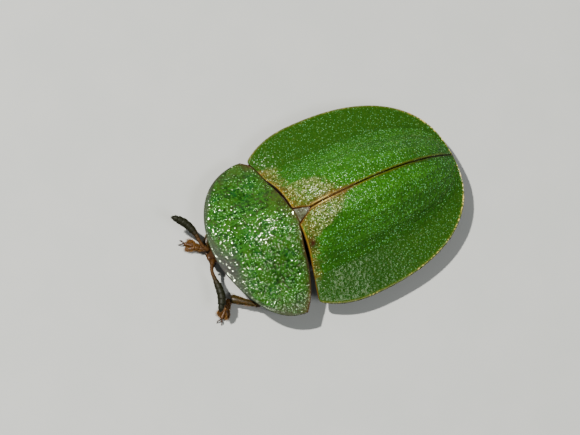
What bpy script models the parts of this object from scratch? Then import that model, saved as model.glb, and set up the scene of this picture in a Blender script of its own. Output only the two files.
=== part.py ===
"""A tortoise beetle as a still model, life size, standing on its six feet.

Metres, +Z up. The head points along -Y and the animal's left side is +X. The shoulders
of the wing cases lie at y = 0 while the pieces are shaped. At the end the whole model is
moved so that the middle of its box is at x = y = 0, with the soles at z = 0.
"""

import math

import bmesh
import bpy
from mathutils import Matrix, Vector

MM = 0.001
WELD = 1e-7
SEAM = 0.09 * MM

# Wing cases, seen from above and from the side
SHELL_HALF_WIDTH = 2.84 * MM
WIDEST_Y = 1.69 * MM
TAIL_Y = 5.80 * MM
SHOULDER_REACH = 2.72 * MM
SHOULDER_POWER = 2.22
TAIL_POWER = 2.35
SHOULDER_ROUNDING = 0.12 * MM
BASE_DEPTH = 0.19 * MM
BASE_HALF_WIDTH = 2.343 * MM
RIM_Z = 0.785 * MM
GROOVE_RISE = 0.485 * MM
CREST_Z = 2.80 * MM
CREST_Y = 2.18 * MM
CREST_FRONT_FALL = 0.105 / MM
CREST_REAR_POWER = 2.2
DISC_HALF_WIDTH = 1.66 * MM
DISC_POWERS = (2.6, 2.4)
DOME_POWERS = (2.3, 1.2)
BASE_FALL = 0.22 * MM
BASE_FALL_LENGTH = 0.45 * MM
SHELL_THICKNESS = 0.50 * MM
RIM_THICKNESS = 0.16 * MM
THINNING_START = 0.8
THINNING_POWER = 1.5
MOST_SLOPE_GAIN = 1.5
SLOPE_STEP = 0.05 * MM

# Where the corner and the scutellum's tip lie on a wing case's grid, as shares of it
CORNER_SHARE_ACROSS = 0.85
CORNER_SHARE_ALONG = 0.06
TIP_SHARE_ALONG = 0.1
BASE_PULL_POWER = 4

# Scutellum, the small plate between the wing cases
SCUTELLUM_FRONT_Y = 0.28 * MM
SCUTELLUM_TIP_Y = 0.66 * MM
SCUTELLUM_HALF_WIDTH = 0.27 * MM
SCUTELLUM_TIP_HALF_WIDTH = 0.02 * MM
SCUTELLUM_SINK = 0.03 * MM

# Pronotum, the shield over the head, in its own frame
SHIELD_CENTRE = (0.05 * MM, -0.34 * MM)
SHIELD_YAW = math.radians(-3.5)
SHIELD_HALF_WIDTH = 2.48 * MM
SHIELD_FRONT = 1.90 * MM
SHIELD_BACK = 0.47 * MM
SHIELD_BACK_POWER = 4.5
SHIELD_FRONT_POWER = 2.1
SHIELD_LOBE = 0.11 * MM
SHIELD_LOBE_WIDTH = 0.45 * MM
SHIELD_SKEW = 0.06
SHIELD_ROLL = 0.05
SHIELD_MARGIN_Z = 0.87 * MM
SHIELD_FRONT_RISE = 0.20 * MM
SHIELD_DOME = 1.21 * MM
SHIELD_DOME_FOOT = 0.975
SHIELD_SIDE_POWERS = (1.8, 1.75)
SHIELD_AHEAD_POWERS = (2.0, 1.1)
SHIELD_THINNING_POWER = 1.7

# Underbody
BELLY_Z = 0.72 * MM
BELLY_RISE = 0.45 * MM
LEAST_BODY = 0.12 * MM
BODY_HALF_WIDTH = 1.50 * MM
PROTHORAX_FRONT_Y = -1.25 * MM
PROTHORAX_BACK_Y = 0.02 * MM
METATHORAX_FRONT_Y = 0.12 * MM
METATHORAX_BACK_Y = 2.02 * MM
ABDOMEN_BACK_Y = 5.05 * MM
ABDOMEN_TAPER = 0.93
TAPER_POWER = 2.5
PROTHORAX_HALF_WIDTH = 1.25 * MM

# Head, eyes and feelers
HEAD_CENTRE = (-0.24 * MM, -1.80 * MM, 0.74 * MM)
HEAD_SIZE = (0.55 * MM, 0.52 * MM, 0.24 * MM)
HEAD_FLAT_X = 0.40 * MM
MUZZLE_OFFSET = (0.0, -0.22 * MM, -0.10 * MM)
MUZZLE_SIZE = (0.30 * MM, 0.26 * MM, 0.20 * MM)
EYE_SIZE = (0.20 * MM, 0.30 * MM, 0.20 * MM)
FEELER_RADII = (0.17, 0.20, 0.22, 0.23, 0.23, 0.20, 0.11)
# Each feeler's path in millimetres, from its root outwards
FEELER_PATHS = {
    "antenna_left": (
        (-0.06, -2.36, 0.76),
        (0.20, -2.46, 0.80),
        (0.50, -2.50, 0.84),
        (0.80, -2.52, 0.86),
        (1.05, -2.58, 0.86),
        (1.24, -2.68, 0.84),
        (1.42, -2.82, 0.80),
    ),
    "antenna_right": (
        (-0.52, -2.35, 0.78),
        (-0.78, -2.38, 0.82),
        (-1.02, -2.40, 0.86),
        (-1.24, -2.46, 0.89),
        (-1.44, -2.56, 0.92),
        (-1.62, -2.70, 0.94),
        (-1.77, -2.86, 0.95),
    ),
}
FEELER_STEPS = 4

# Legs
COXA_RADIUS = 0.25 * MM
FEMUR_RADIUS = 0.23 * MM
TIBIA_RADIUS = 0.20 * MM
TARSUS_RADIUS = 0.18 * MM
TOE_RADIUS = 0.155 * MM
KNEE_SHARE = 0.9
HIP_DROP = 0.22 * MM
BALL_SHARE = 0.45
# Each leg in millimetres: its root (x, y), its knee, its ankle and its toe
LEG_POINTS = {
    "leg_front_left": ((0.50, -0.78), (1.60, -1.62, 0.42), (1.04, -2.22, 0.30), (1.50, -2.72, 0.08)),
    "leg_front_right": (
        (-0.55, -0.78),
        (-1.22, -1.62, 0.40),
        (-0.58, -2.22, 0.28),
        (-1.06, -2.66, 0.08),
    ),
    "leg_middle": ((0.55, 0.85), (1.70, 0.75, 0.40), (2.05, 1.55, 0.26), (2.35, 2.15, 0.08)),
    "leg_hind": ((0.50, 1.60), (1.55, 2.50, 0.40), (1.75, 3.40, 0.26), (1.95, 4.10, 0.08)),
}

GREEN = (0.16, 0.33, 0.035)
GREY_GREEN = (0.20, 0.34, 0.13)
PINK_BROWN = (0.55, 0.42, 0.28)
ORANGE_BROWN = (0.42, 0.15, 0.025)
DARK_BROWN = (0.07, 0.035, 0.015)
BLACK = (0.012, 0.010, 0.009)
EYE_ROUGHNESS = 0.2


def clear_scene():
    for thing in list(bpy.data.objects):
        bpy.data.objects.remove(thing, do_unlink=True)


def material(name, colour, roughness):
    """A plain Principled material for one kind of surface."""
    made = bpy.data.materials.new(name)
    made.use_nodes = True
    shader = made.node_tree.nodes["Principled BSDF"]
    shader.inputs["Base Color"].default_value = (*colour, 1.0)
    shader.inputs["Roughness"].default_value = roughness
    shader.inputs["Metallic"].default_value = 0.0
    made.diffuse_color = (*colour, 1.0)
    return made


def object_of(name, mesh, colour, roughness=0.4):
    """Turns a bmesh into a named object with its own material."""
    data = bpy.data.meshes.new(name)
    mesh.to_mesh(data)
    mesh.free()
    data.materials.append(material(name + "_finish", colour, roughness))
    data.shade_smooth()
    made = bpy.data.objects.new(name, data)
    bpy.context.collection.objects.link(made)
    return made


def mix(a, b, share):
    return a + (b - a) * share


def pair(a, b, share):
    return mix(a[0], b[0], share), mix(a[1], b[1], share)


# Outline and height of the wing cases


def shell_half_width(y):
    """Half the width of the closed wing cases at y."""
    if y > WIDEST_Y:
        along, power = (y - WIDEST_Y) / (TAIL_Y - WIDEST_Y), TAIL_POWER
    else:
        along, power = (WIDEST_Y - y) / SHOULDER_REACH, SHOULDER_POWER
    return SHELL_HALF_WIDTH * max(0.0, 1 - along**power) ** (1 / power)


def base_edge_y(x):
    """Where the front edge of the wing cases lies, off the middle line by x."""
    return BASE_DEPTH * (1 - min(1.0, abs(x) / BASE_HALF_WIDTH) ** 4)


def disc_half_width(y):
    """Half the width of the raised disc, inside the groove."""
    along = max(0.0, (y - WIDEST_Y) / (TAIL_Y - WIDEST_Y))
    return DISC_HALF_WIDTH * max(0.0, 1 - along ** DISC_POWERS[0]) ** (1 / DISC_POWERS[1])


def crest_z(y):
    """Height of the wing cases along the suture."""
    if y < CREST_Y:
        return CREST_Z - CREST_FRONT_FALL * (CREST_Y - y) ** 2
    along = min(1.0, (y - CREST_Y) / (TAIL_Y - CREST_Y))
    return RIM_Z + (CREST_Z - RIM_Z) * (1 - along**CREST_REAR_POWER)


def shell_top(x, y):
    """Height of the wing cases' upper side: a dome, a groove and a flat margin."""
    x = abs(x)
    disc, rim = disc_half_width(y), shell_half_width(y)
    back = min(1.0, max(0.0, (y - WIDEST_Y) / (TAIL_Y - WIDEST_Y)))
    groove = RIM_Z + GROOVE_RISE * (1 - back**2)
    outer = min(1.0, max(0.0, (x - disc) / max(rim - disc, WELD)))
    dome = (1 - min(1.0, x / max(disc, WELD)) ** DOME_POWERS[0]) ** DOME_POWERS[1]
    fall = BASE_FALL * math.exp(-(((y - base_edge_y(x)) / BASE_FALL_LENGTH) ** 2))
    return mix(groove, RIM_Z, outer) + (crest_z(y) - groove) * dome - fall * (1 - outer)


def shell_bottom(x, y):
    """Underside of the wing cases, which thin towards the rim."""
    disc, rim = disc_half_width(y), shell_half_width(y)
    start = THINNING_START * disc
    outer = min(1.0, max(0.0, (abs(x) - start) / max(rim - start, WELD)))
    rise = shell_top(x + SLOPE_STEP, y) - shell_top(x - SLOPE_STEP, y)
    gain = min(MOST_SLOPE_GAIN, math.hypot(1.0, rise / (2 * SLOPE_STEP)))
    return shell_top(x, y) - mix(SHELL_THICKNESS * gain, RIM_THICKNESS, outer**THINNING_POWER)


def rounded_corner(share, start, corner, end):
    """A point on the curve that rounds a corner."""
    return pair(pair(start, corner, share), pair(corner, end, share), share)


def shoulder():
    """The points between which the front corner of a wing case is rounded."""
    x = BASE_HALF_WIDTH - SHOULDER_ROUNDING
    start = (x, base_edge_y(x))
    corner = (BASE_HALF_WIDTH, 0.0)
    end = (shell_half_width(SHOULDER_ROUNDING), SHOULDER_ROUNDING)
    return start, corner, end


def front_edge(u):
    """The front edge of the left wing case, from the scutellum out to the shoulder."""
    start, corner, end = shoulder()
    inner = SCUTELLUM_HALF_WIDTH + SEAM
    if u < CORNER_SHARE_ACROSS:
        x = mix(inner, start[0], u / CORNER_SHARE_ACROSS)
        return x, base_edge_y(x)
    along = (u - CORNER_SHARE_ACROSS) / (1 - CORNER_SHARE_ACROSS)
    return rounded_corner(along / 2, start, corner, end)


def outer_edge(v):
    """The rim of the left wing case, from the shoulder back to the tail."""
    if v < CORNER_SHARE_ALONG:
        return rounded_corner((1 + v / CORNER_SHARE_ALONG) / 2, *shoulder())
    turn = (v - CORNER_SHARE_ALONG) / (1 - CORNER_SHARE_ALONG)
    lead = math.asin((WIDEST_Y - SHOULDER_ROUNDING) / SHOULDER_REACH)
    angle = mix(-lead, math.pi / 2, turn)
    if angle < 0:
        y = WIDEST_Y + SHOULDER_REACH * math.sin(angle)
    else:
        y = WIDEST_Y + (TAIL_Y - WIDEST_Y) * math.sin(angle) ** (2 / TAIL_POWER)
    return shell_half_width(y), y


def inner_edge(v):
    """The inner edge of the left wing case, past the scutellum and down the suture."""
    front = (SCUTELLUM_HALF_WIDTH + SEAM, base_edge_y(SCUTELLUM_HALF_WIDTH + SEAM))
    tip = (SEAM / 2, SCUTELLUM_TIP_Y + SEAM)
    if v < TIP_SHARE_ALONG:
        return pair(front, tip, v / TIP_SHARE_ALONG)
    return SEAM / 2, mix(tip[1], TAIL_Y, (v - TIP_SHARE_ALONG) / (1 - TIP_SHARE_ALONG))


def wing_case_plan(u, v):
    """Where a point of the left wing case's grid lies, seen from above."""
    inner, outer = inner_edge(v), outer_edge(v)
    x, y = pair(inner, outer, u)
    chord, edge = pair(inner_edge(0), outer_edge(0), u), front_edge(u)
    pull = (1 - v) ** BASE_PULL_POWER
    x, y = x + (edge[0] - chord[0]) * pull, y + (edge[1] - chord[1]) * pull
    return max(x, SEAM / 2), y


def plate(name, plan, top, bottom, across, along, colour):
    """A closed solid between two heights over one grid of positions."""
    mesh = bmesh.new()
    bmesh.ops.create_grid(mesh, x_segments=across, y_segments=along, size=0.5)
    raised = bmesh.ops.extrude_face_region(mesh, geom=mesh.faces[:])["geom"]
    upper = {item for item in raised if isinstance(item, bmesh.types.BMVert)}
    for vert in mesh.verts:
        x, y = plan(vert.co.x + 0.5, vert.co.y + 0.5)
        vert.co = (x, y, top(x, y) if vert in upper else bottom(x, y))
    bmesh.ops.remove_doubles(mesh, verts=mesh.verts[:], dist=WELD)
    bmesh.ops.recalc_face_normals(mesh, faces=mesh.faces[:])
    return object_of(name, mesh, colour)


def mirrored(source, name):
    """The same piece on the animal's right side."""
    mesh = bmesh.new()
    mesh.from_mesh(source.data)
    for vert in mesh.verts:
        vert.co.x = -vert.co.x
    bmesh.ops.reverse_faces(mesh, faces=mesh.faces[:])
    colour = source.data.materials[0].diffuse_color[:3]
    return object_of(name, mesh, colour)


def wing_cases():
    left = plate("elytron_left", wing_case_plan, shell_top, shell_bottom, 14, 26, GREEN)
    return [left, mirrored(left, "elytron_right")]


def scutellum():
    def plan(u, v):
        half = mix(SCUTELLUM_HALF_WIDTH, SCUTELLUM_TIP_HALF_WIDTH, v)
        return mix(-half, half, u), mix(SCUTELLUM_FRONT_Y, SCUTELLUM_TIP_Y, v)

    def top(x, y):
        return shell_top(0.0, y) - SCUTELLUM_SINK

    def bottom(x, y):
        return shell_top(0.0, y) - SHELL_THICKNESS

    return plate("scutellum", plan, top, bottom, 2, 3, PINK_BROWN)


# Outline and height of the shield


def to_shield(x, y):
    """Turns a place into the shield's own frame."""
    dx, dy = x - SHIELD_CENTRE[0], y - SHIELD_CENTRE[1]
    cos, sin = math.cos(SHIELD_YAW), math.sin(SHIELD_YAW)
    return cos * dx + sin * dy, cos * dy - sin * dx


def from_shield(x, y):
    """Turns a place in the shield's own frame into one in the animal's."""
    cos, sin = math.cos(SHIELD_YAW), math.sin(SHIELD_YAW)
    return (
        SHIELD_CENTRE[0] + cos * x - sin * y,
        SHIELD_CENTRE[1] + sin * x + cos * y,
    )


def shield_back(x):
    """The hind edge of the shield, with its small lobe over the scutellum."""
    lobe = SHIELD_LOBE * math.exp(-((x / SHIELD_LOBE_WIDTH) ** 2))
    return SHIELD_BACK * (1 - min(1.0, abs(x) / SHIELD_HALF_WIDTH) ** SHIELD_BACK_POWER) + lobe


def furthest_back(x):
    """How far back the shield may reach, a seam in front of what lies behind it."""
    behind = SCUTELLUM_FRONT_Y if abs(x) < SCUTELLUM_HALF_WIDTH else base_edge_y(x)
    return behind - SEAM


def shield_front(turn):
    """A point on the front edge of the shield, turn from -1 at the right corner to 1."""
    angle = turn * math.pi / 2
    x = SHIELD_HALF_WIDTH * math.sin(angle)
    y = -SHIELD_FRONT * max(0.0, math.cos(angle)) ** (2 / SHIELD_FRONT_POWER)
    return x, y + SHIELD_SKEW * x * (-y / SHIELD_FRONT)


def shield_plan(u, v):
    turn = 2 * u - 1
    front = shield_front(turn)
    back = (front[0], shield_back(front[0]))
    x, y = from_shield(*pair(front, back, v))
    return x, min(y, furthest_back(x))


def shield_top(x, y):
    """Height of the shield: highest at the back, with a flat margin in front."""
    p, q = to_shield(x, y)
    across = min(1.0, abs(p) / (SHIELD_DOME_FOOT * SHIELD_HALF_WIDTH))
    side, side_edge = SHIELD_SIDE_POWERS
    front, front_edge_power = SHIELD_AHEAD_POWERS
    ahead = min(1.0, max(0.0, (SHIELD_BACK - q) / (SHIELD_BACK + SHIELD_FRONT)))
    dome = SHIELD_DOME * (1 - across**side) ** side_edge * (1 - ahead**front) ** front_edge_power
    rise = SHIELD_FRONT_RISE * ahead**2 * (1 - across**2)
    return SHIELD_MARGIN_Z + dome + rise + SHIELD_ROLL * p


def shield_bottom(x, y):
    p, q = to_shield(x, y)
    across = min(1.0, abs(p) / SHIELD_HALF_WIDTH)
    ahead = min(1.0, max(0.0, (SHIELD_BACK - q) / (SHIELD_BACK + SHIELD_FRONT)))
    edge = max(across, ahead)
    return shield_top(x, y) - mix(SHELL_THICKNESS, RIM_THICKNESS, edge**SHIELD_THINNING_POWER)


def shield():
    return plate("pronotum", shield_plan, shield_top, shield_bottom, 26, 11, GREY_GREEN)


# Underbody


def belly_z(x, y):
    """Height of the underside, rounded up towards the sides."""
    return BELLY_Z + BELLY_RISE * min(1.0, abs(x) / BODY_HALF_WIDTH) ** 4


def body_part(name, front, back, half_width, roof, tail, along, colour):
    """A length of the underbody between two flat ends, under the roof above it."""

    def plan(u, v):
        y = mix(front, back, v)
        taper = math.sqrt(max(0.0, 1 - (tail * v) ** TAPER_POWER))
        return mix(-half_width, half_width, u) * taper, y

    def top(x, y):
        return roof(x, y) - SEAM

    def bottom(x, y):
        return min(belly_z(x, y), top(x, y) - LEAST_BODY)

    return plate(name, plan, top, bottom, 14, along, colour)


def underbody():
    prothorax = body_part(
        "prothorax",
        PROTHORAX_FRONT_Y,
        PROTHORAX_BACK_Y,
        PROTHORAX_HALF_WIDTH,
        shield_bottom,
        0.0,
        5,
        DARK_BROWN,
    )
    metathorax = body_part(
        "metathorax",
        METATHORAX_FRONT_Y,
        METATHORAX_BACK_Y,
        BODY_HALF_WIDTH,
        under_shell,
        0.0,
        7,
        BLACK,
    )
    abdomen = body_part(
        "abdomen",
        METATHORAX_BACK_Y + SEAM,
        ABDOMEN_BACK_Y,
        BODY_HALF_WIDTH,
        under_shell,
        ABDOMEN_TAPER,
        12,
        BLACK,
    )
    return [prothorax, metathorax, abdomen]


def under_shell(x, y):
    """Roof over the hind body: the wing cases, or the shield's lobe in front of them."""
    if y < SCUTELLUM_FRONT_Y:
        return min(shell_bottom(x, y), shield_bottom(x, y))
    return shell_bottom(x, y)


# Rounded pieces for the head, feelers and legs


def capsule(start, end, start_radius, end_radius, sides=10, rings=6, flat=1.0):
    """A rod with round ends, thicker at one end, and flattened by flat in height."""
    start, end = Vector(start), Vector(end)
    axis = (end - start).normalized()
    side = axis.cross(Vector((0, 0, 1)))
    side = side.normalized() if side.length > 0.05 else Vector((1, 0, 0))
    up = side.cross(axis)
    mesh = bmesh.new()
    bmesh.ops.create_uvsphere(mesh, u_segments=sides, v_segments=rings, radius=1.0)
    for vert in mesh.verts:
        x, y, z = vert.co
        centre = end if z > 0.01 else start
        radius = end_radius if z > 0.01 else start_radius
        vert.co = centre + radius * (side * x + up * (y * flat) + axis * z)
    bmesh.ops.recalc_face_normals(mesh, faces=mesh.faces[:])
    return mesh


def joined(name, pieces, colour):
    """One closed body from overlapping closed pieces."""
    rest = bpy.data.collections.new(name + "_pieces")
    bpy.context.scene.collection.children.link(rest)
    helpers = []
    for number, mesh in enumerate(pieces):
        data = bpy.data.meshes.new(f"{name}_piece_{number}")
        mesh.to_mesh(data)
        mesh.free()
        helper = bpy.data.objects.new(data.name, data)
        helpers.append(helper)
        (rest if number else bpy.context.collection).objects.link(helper)
    union = helpers[0].modifiers.new("join", "BOOLEAN")
    union.operation = "UNION"
    union.solver = "EXACT"
    union.operand_type = "COLLECTION"
    union.collection = rest
    bpy.context.view_layer.update()
    graph = bpy.context.evaluated_depsgraph_get()
    whole = bmesh.new()
    whole.from_object(helpers[0], graph)
    for helper in helpers:
        bpy.data.objects.remove(helper, do_unlink=True)
    bpy.data.collections.remove(rest)
    return object_of(name, largest_body(whole), colour)


def largest_body(mesh):
    """Drops loose scraps, so that one closed surface is left."""
    left = set(mesh.faces)
    bodies = []
    while left:
        body, reach = set(), [left.pop()]
        while reach:
            face = reach.pop()
            body.add(face)
            near = {other for edge in face.edges for other in edge.link_faces}
            reach.extend(near & left)
            left -= near
        bodies.append(body)
    bodies.sort(key=lambda body: sum(face.calc_area() for face in body))
    for body in bodies[:-1]:
        bmesh.ops.delete(mesh, geom=list(body), context="FACES")
    return mesh


def cut(mesh, place, normal):
    """Cuts a mesh flat, keeps the side that normal points to and closes the cut."""
    made = bmesh.ops.bisect_plane(
        mesh,
        geom=mesh.verts[:] + mesh.edges[:] + mesh.faces[:],
        dist=WELD,
        plane_co=place,
        plane_no=normal,
        clear_inner=True,
    )
    edges = [item for item in made["geom_cut"] if isinstance(item, bmesh.types.BMEdge)]
    if edges:
        bmesh.ops.holes_fill(mesh, edges=edges)


def trimmed(piece, cuts):
    """Cuts a finished piece at each (place, normal) and keeps it closed."""
    mesh = bmesh.new()
    mesh.from_mesh(piece.data)
    for place, normal in cuts:
        cut(mesh, place, normal)
    bmesh.ops.recalc_face_normals(mesh, faces=mesh.faces[:])
    mesh.to_mesh(piece.data)
    mesh.free()
    return piece


def at(x, y, z):
    return Vector((x, y, z)) * MM


def leg(name, root, knee, ankle, toe):
    """A leg from its flat root under the body to its foot, flat on the ground."""
    root = at(*root, (BELLY_Z - SEAM) / MM)
    knee, ankle, toe = at(*knee), at(*ankle), at(*toe)
    hip = root - Vector((0, 0, HIP_DROP))
    ball = ankle + (toe - ankle) * BALL_SHARE
    pieces = [
        capsule(root, hip, COXA_RADIUS, COXA_RADIUS),
        capsule(hip, knee, FEMUR_RADIUS * KNEE_SHARE, FEMUR_RADIUS * KNEE_SHARE),
        capsule(knee, ankle, TIBIA_RADIUS * KNEE_SHARE, TIBIA_RADIUS),
        capsule(ankle, ball, TARSUS_RADIUS, TARSUS_RADIUS),
        capsule(ball, toe, TARSUS_RADIUS, TOE_RADIUS),
    ]
    made = joined(name, pieces, ORANGE_BROWN)
    return trimmed(made, ((root, (0, 0, -1)), ((0, 0, 0), (0, 0, 1))))


def legs():
    made = []
    for name, points in LEG_POINTS.items():
        if name.startswith("leg_front"):
            made.append(leg(name, *points))
            continue
        for side, word in ((1, "_left"), (-1, "_right")):
            made.append(leg(name + word, *[(side * x, *rest) for x, *rest in points]))
    return made


def smooth_path(points, steps):
    """Points along one smooth curve through the given ones."""
    ends = [points[0] * 2 - points[1], *points, points[-1] * 2 - points[-2]]
    path = []
    for a, b, c, d in zip(ends, ends[1:], ends[2:], ends[3:]):
        for step in range(steps):
            t = step / steps
            path.append(
                0.5
                * (
                    2 * b
                    + (c - a) * t
                    + (2 * a - 5 * b + 4 * c - d) * t * t
                    + (3 * b - a - 3 * c + d) * t**3
                )
            )
    return path + [points[-1]]


def feeler(name, points):
    """A feeler as one tube that swells into its club and narrows at the tip."""
    path = smooth_path([at(*point) for point in points], FEELER_STEPS)
    curve = bpy.data.curves.new(name, "CURVE")
    curve.dimensions = "3D"
    curve.bevel_depth = MM
    curve.bevel_resolution = 3
    curve.use_fill_caps = True
    spline = curve.splines.new("POLY")
    spline.points.add(len(path) - 1)
    stretch = (len(FEELER_RADII) - 1) / (len(path) - 1)
    for number, (place, point) in enumerate(zip(path, spline.points)):
        before = min(int(number * stretch), len(FEELER_RADII) - 2)
        share = number * stretch - before
        point.co = (*place, 1.0)
        point.radius = mix(FEELER_RADII[before], FEELER_RADII[before + 1], share)
    holder = bpy.data.objects.new(name + "_curve", curve)
    bpy.context.collection.objects.link(holder)
    bpy.context.view_layer.update()
    solid = holder.evaluated_get(bpy.context.evaluated_depsgraph_get())
    mesh = bmesh.new()
    mesh.from_mesh(bpy.data.meshes.new_from_object(solid))
    bpy.data.objects.remove(holder, do_unlink=True)
    bmesh.ops.remove_doubles(mesh, verts=mesh.verts[:], dist=WELD)
    bmesh.ops.recalc_face_normals(mesh, faces=mesh.faces[:])
    return object_of(name, mesh, DARK_BROWN)


def feelers():
    return [feeler(name, points) for name, points in FEELER_PATHS.items()]


def ellipsoid(centre, size, sides, rings):
    mesh = bmesh.new()
    bmesh.ops.create_uvsphere(mesh, u_segments=sides, v_segments=rings, radius=1.0)
    place = Matrix.Translation(Vector(centre)) @ Matrix.Diagonal((*size, 1.0))
    bmesh.ops.transform(mesh, matrix=place, verts=mesh.verts[:])
    return mesh


def head():
    """The head, flat where the eyes sit, with the mouthparts below its front."""
    centre = Vector(HEAD_CENTRE)
    pieces = [
        ellipsoid(centre, HEAD_SIZE, 20, 12),
        ellipsoid(centre + Vector(MUZZLE_OFFSET), MUZZLE_SIZE, 14, 8),
    ]
    across = Vector((HEAD_FLAT_X, 0, 0))
    skull = joined("head", pieces, ORANGE_BROWN)
    made = [trimmed(skull, ((centre + across, (-1, 0, 0)), (centre - across, (1, 0, 0))))]
    for side, word in ((1, "left"), (-1, "right")):
        place = centre + side * (across + Vector((SEAM, 0, 0)))
        eye = object_of("eye_" + word, ellipsoid(place, EYE_SIZE, 14, 8), BLACK, EYE_ROUGHNESS)
        made.append(trimmed(eye, ((place, (side, 0, 0)),)))
    return made


def stand_on_origin(pieces):
    """Moves the model so that its box is centred over the origin, soles at z = 0."""
    places = [vert.co for piece in pieces for vert in piece.data.vertices]
    lowest = [min(place[axis] for place in places) for axis in range(3)]
    highest = [max(place[axis] for place in places) for axis in range(3)]
    shift = Vector(
        (
            -(lowest[0] + highest[0]) / 2,
            -(lowest[1] + highest[1]) / 2,
            -lowest[2],
        )
    )
    for piece in pieces:
        piece.data.transform(Matrix.Translation(shift))


def main():
    clear_scene()
    pieces = [*wing_cases(), scutellum(), shield(), *underbody(), *head()]
    pieces += [*feelers(), *legs()]
    stand_on_origin(pieces)


main()
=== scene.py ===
"""A tortoise beetle as a finely finished still model, standing on a pale studio floor.

The solids of the frame give its size and place. Every part is then made again in full
detail: pitted wing cases, a wrinkled neck shield, jointed feelers and legs with their
bristles and claws, and a segmented underside. The head points along -Y.
"""

import math
import random

import bmesh
import bpy
import numpy as np
from bpy.props import FloatProperty, FloatVectorProperty, IntProperty, PointerProperty
from mathutils import Matrix, Vector, kdtree, noise


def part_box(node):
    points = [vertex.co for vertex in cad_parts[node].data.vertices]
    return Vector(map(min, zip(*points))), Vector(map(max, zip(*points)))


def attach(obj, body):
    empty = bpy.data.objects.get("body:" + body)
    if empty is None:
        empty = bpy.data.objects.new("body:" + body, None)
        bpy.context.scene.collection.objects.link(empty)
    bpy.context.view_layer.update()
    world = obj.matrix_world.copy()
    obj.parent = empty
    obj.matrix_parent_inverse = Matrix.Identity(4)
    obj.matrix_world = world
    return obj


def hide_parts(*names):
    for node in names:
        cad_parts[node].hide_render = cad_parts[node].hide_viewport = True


bl_info = {
    "name": "Tortoise Beetle Builder",
    "version": (1, 0, 0),
    "blender": (4, 5, 0),
    "location": "View3D > Sidebar > Beetle",
    "description": "Builds a life-size tortoise beetle and its studio",
    "category": "Add Mesh",
}

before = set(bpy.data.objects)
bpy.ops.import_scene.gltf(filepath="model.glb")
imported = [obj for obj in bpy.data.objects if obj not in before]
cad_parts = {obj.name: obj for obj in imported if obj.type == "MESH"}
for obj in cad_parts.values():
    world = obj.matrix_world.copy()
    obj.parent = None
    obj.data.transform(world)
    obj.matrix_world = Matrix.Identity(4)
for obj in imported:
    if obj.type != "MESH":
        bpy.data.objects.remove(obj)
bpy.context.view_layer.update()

MM = 0.001
TINY = 1e-9
WELD = 2e-7
COLLAPSE = 1e-8
BODY = "root"

# The frame's sizes. The animal's own measure starts at the shoulder line of its shell.
SHELL_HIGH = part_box("elytron_left")[1]
TAIL = 5.80 * MM
SHOULDER_Y = SHELL_HIGH.y - TAIL
HALF_WIDTH = SHELL_HIGH.x
CREST = SHELL_HIGH.z
BELLY_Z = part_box("metathorax")[0].z

# Wing cases, as the solids have them
WIDEST = 1.69 * MM
SHOULDER_REACH = 2.72 * MM
SHOULDER_POWER = 2.22
TAIL_POWER = 2.35
SHOULDER_ROUNDING = 0.12 * MM
BASE_DEPTH = 0.19 * MM
BASE_HALF_WIDTH = 2.343 * MM
RIM_Z = 0.785 * MM
GROOVE_RISE = 0.485 * MM
GROOVE_ROUNDING = 0.12 * MM
CREST_Y = 2.18 * MM
CREST_FRONT_FALL = 0.105 / MM
CREST_REAR_POWER = 2.2
DISC_HALF_WIDTH = 1.66 * MM
BASE_FALL = 0.22 * MM
BASE_FALL_LENGTH = 0.45 * MM
SCUTELLUM_FRONT = 0.28 * MM
SCUTELLUM_TIP = 0.66 * MM
SCUTELLUM_HALF = 0.27 * MM
SUTURE = 0.006 * MM

# Share of the front edge's points before the shoulder's rounding, of the rim's points on that
# rounding, and of the inner edge's points along the scutellum
BASE_SHARE = 0.85
ROUND_SHARE = 0.06
PLATE_SHARE = 0.1

# Ribs of a wing case: share of the way across the disc, and height in millimetres
RIBS = ((0.30, 0.012), (0.56, 0.014), (0.80, 0.012))

# How far back the pale ground reaches on each wing case, at places off the middle line, in millimetres
PALE_GROUND = {
    1: ((0.0, 1.95), (0.12, 1.75), (0.33, 1.44), (0.55, 1.33), (0.68, 1.05), (0.75, 0.62), (0.88, 0.46),
        (1.15, 0.46), (1.50, 0.42), (1.85, 0.25), (2.05, -0.3)),
    -1: ((0.0, 1.95), (0.11, 1.68), (0.32, 1.46), (0.65, 1.34), (0.80, 1.15), (0.93, 0.85), (1.00, 0.55),
         (1.15, 0.45), (1.50, 0.58), (1.80, 0.62), (2.05, -0.3)),
}

# Neck shield, in its own turned frame
SHIELD_CENTRE = (0.05 * MM, -0.34 * MM)
SHIELD_YAW = math.radians(-3.5)
SHIELD_HALF = 2.48 * MM
SHIELD_FRONT = 1.90 * MM
SHIELD_BACK = 0.47 * MM
SHIELD_SKEW = 0.06
SHIELD_ROLL = 0.05
SHIELD_MARGIN_Z = 0.87 * MM
SHIELD_FRONT_RISE = 0.20 * MM
SHIELD_DOME = 1.21 * MM

# Places of the shield with more or fewer painted glints: across, along, radius in millimetres, and gain
PAINTED_SHINE_SPOTS = (
    (-1.72, -0.04, 0.30, 1.0), (-0.02, -0.74, 0.16, 0.9), (-0.04, -1.15, 0.18, 0.5),
    (-0.06, -1.50, 0.22, 0.5), (-1.16, -1.06, 0.32, 0.6), (-0.37, -0.29, 0.30, 0.7),
    (0.12, 0.15, 0.28, 0.7), (0.91, 0.33, 0.14, 0.6), (1.78, -0.18, 0.32, 0.5), (2.28, -0.14, 0.25, 0.3),
    (0.24, -1.08, 0.22, -0.4), (-1.54, -0.65, 0.34, -0.4), (-0.90, -0.11, 0.36, -0.4),
    (-0.46, -0.96, 0.26, -0.35), (1.47, -0.80, 0.30, -0.2), (1.08, -0.36, 0.35, -0.25),
)

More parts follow.
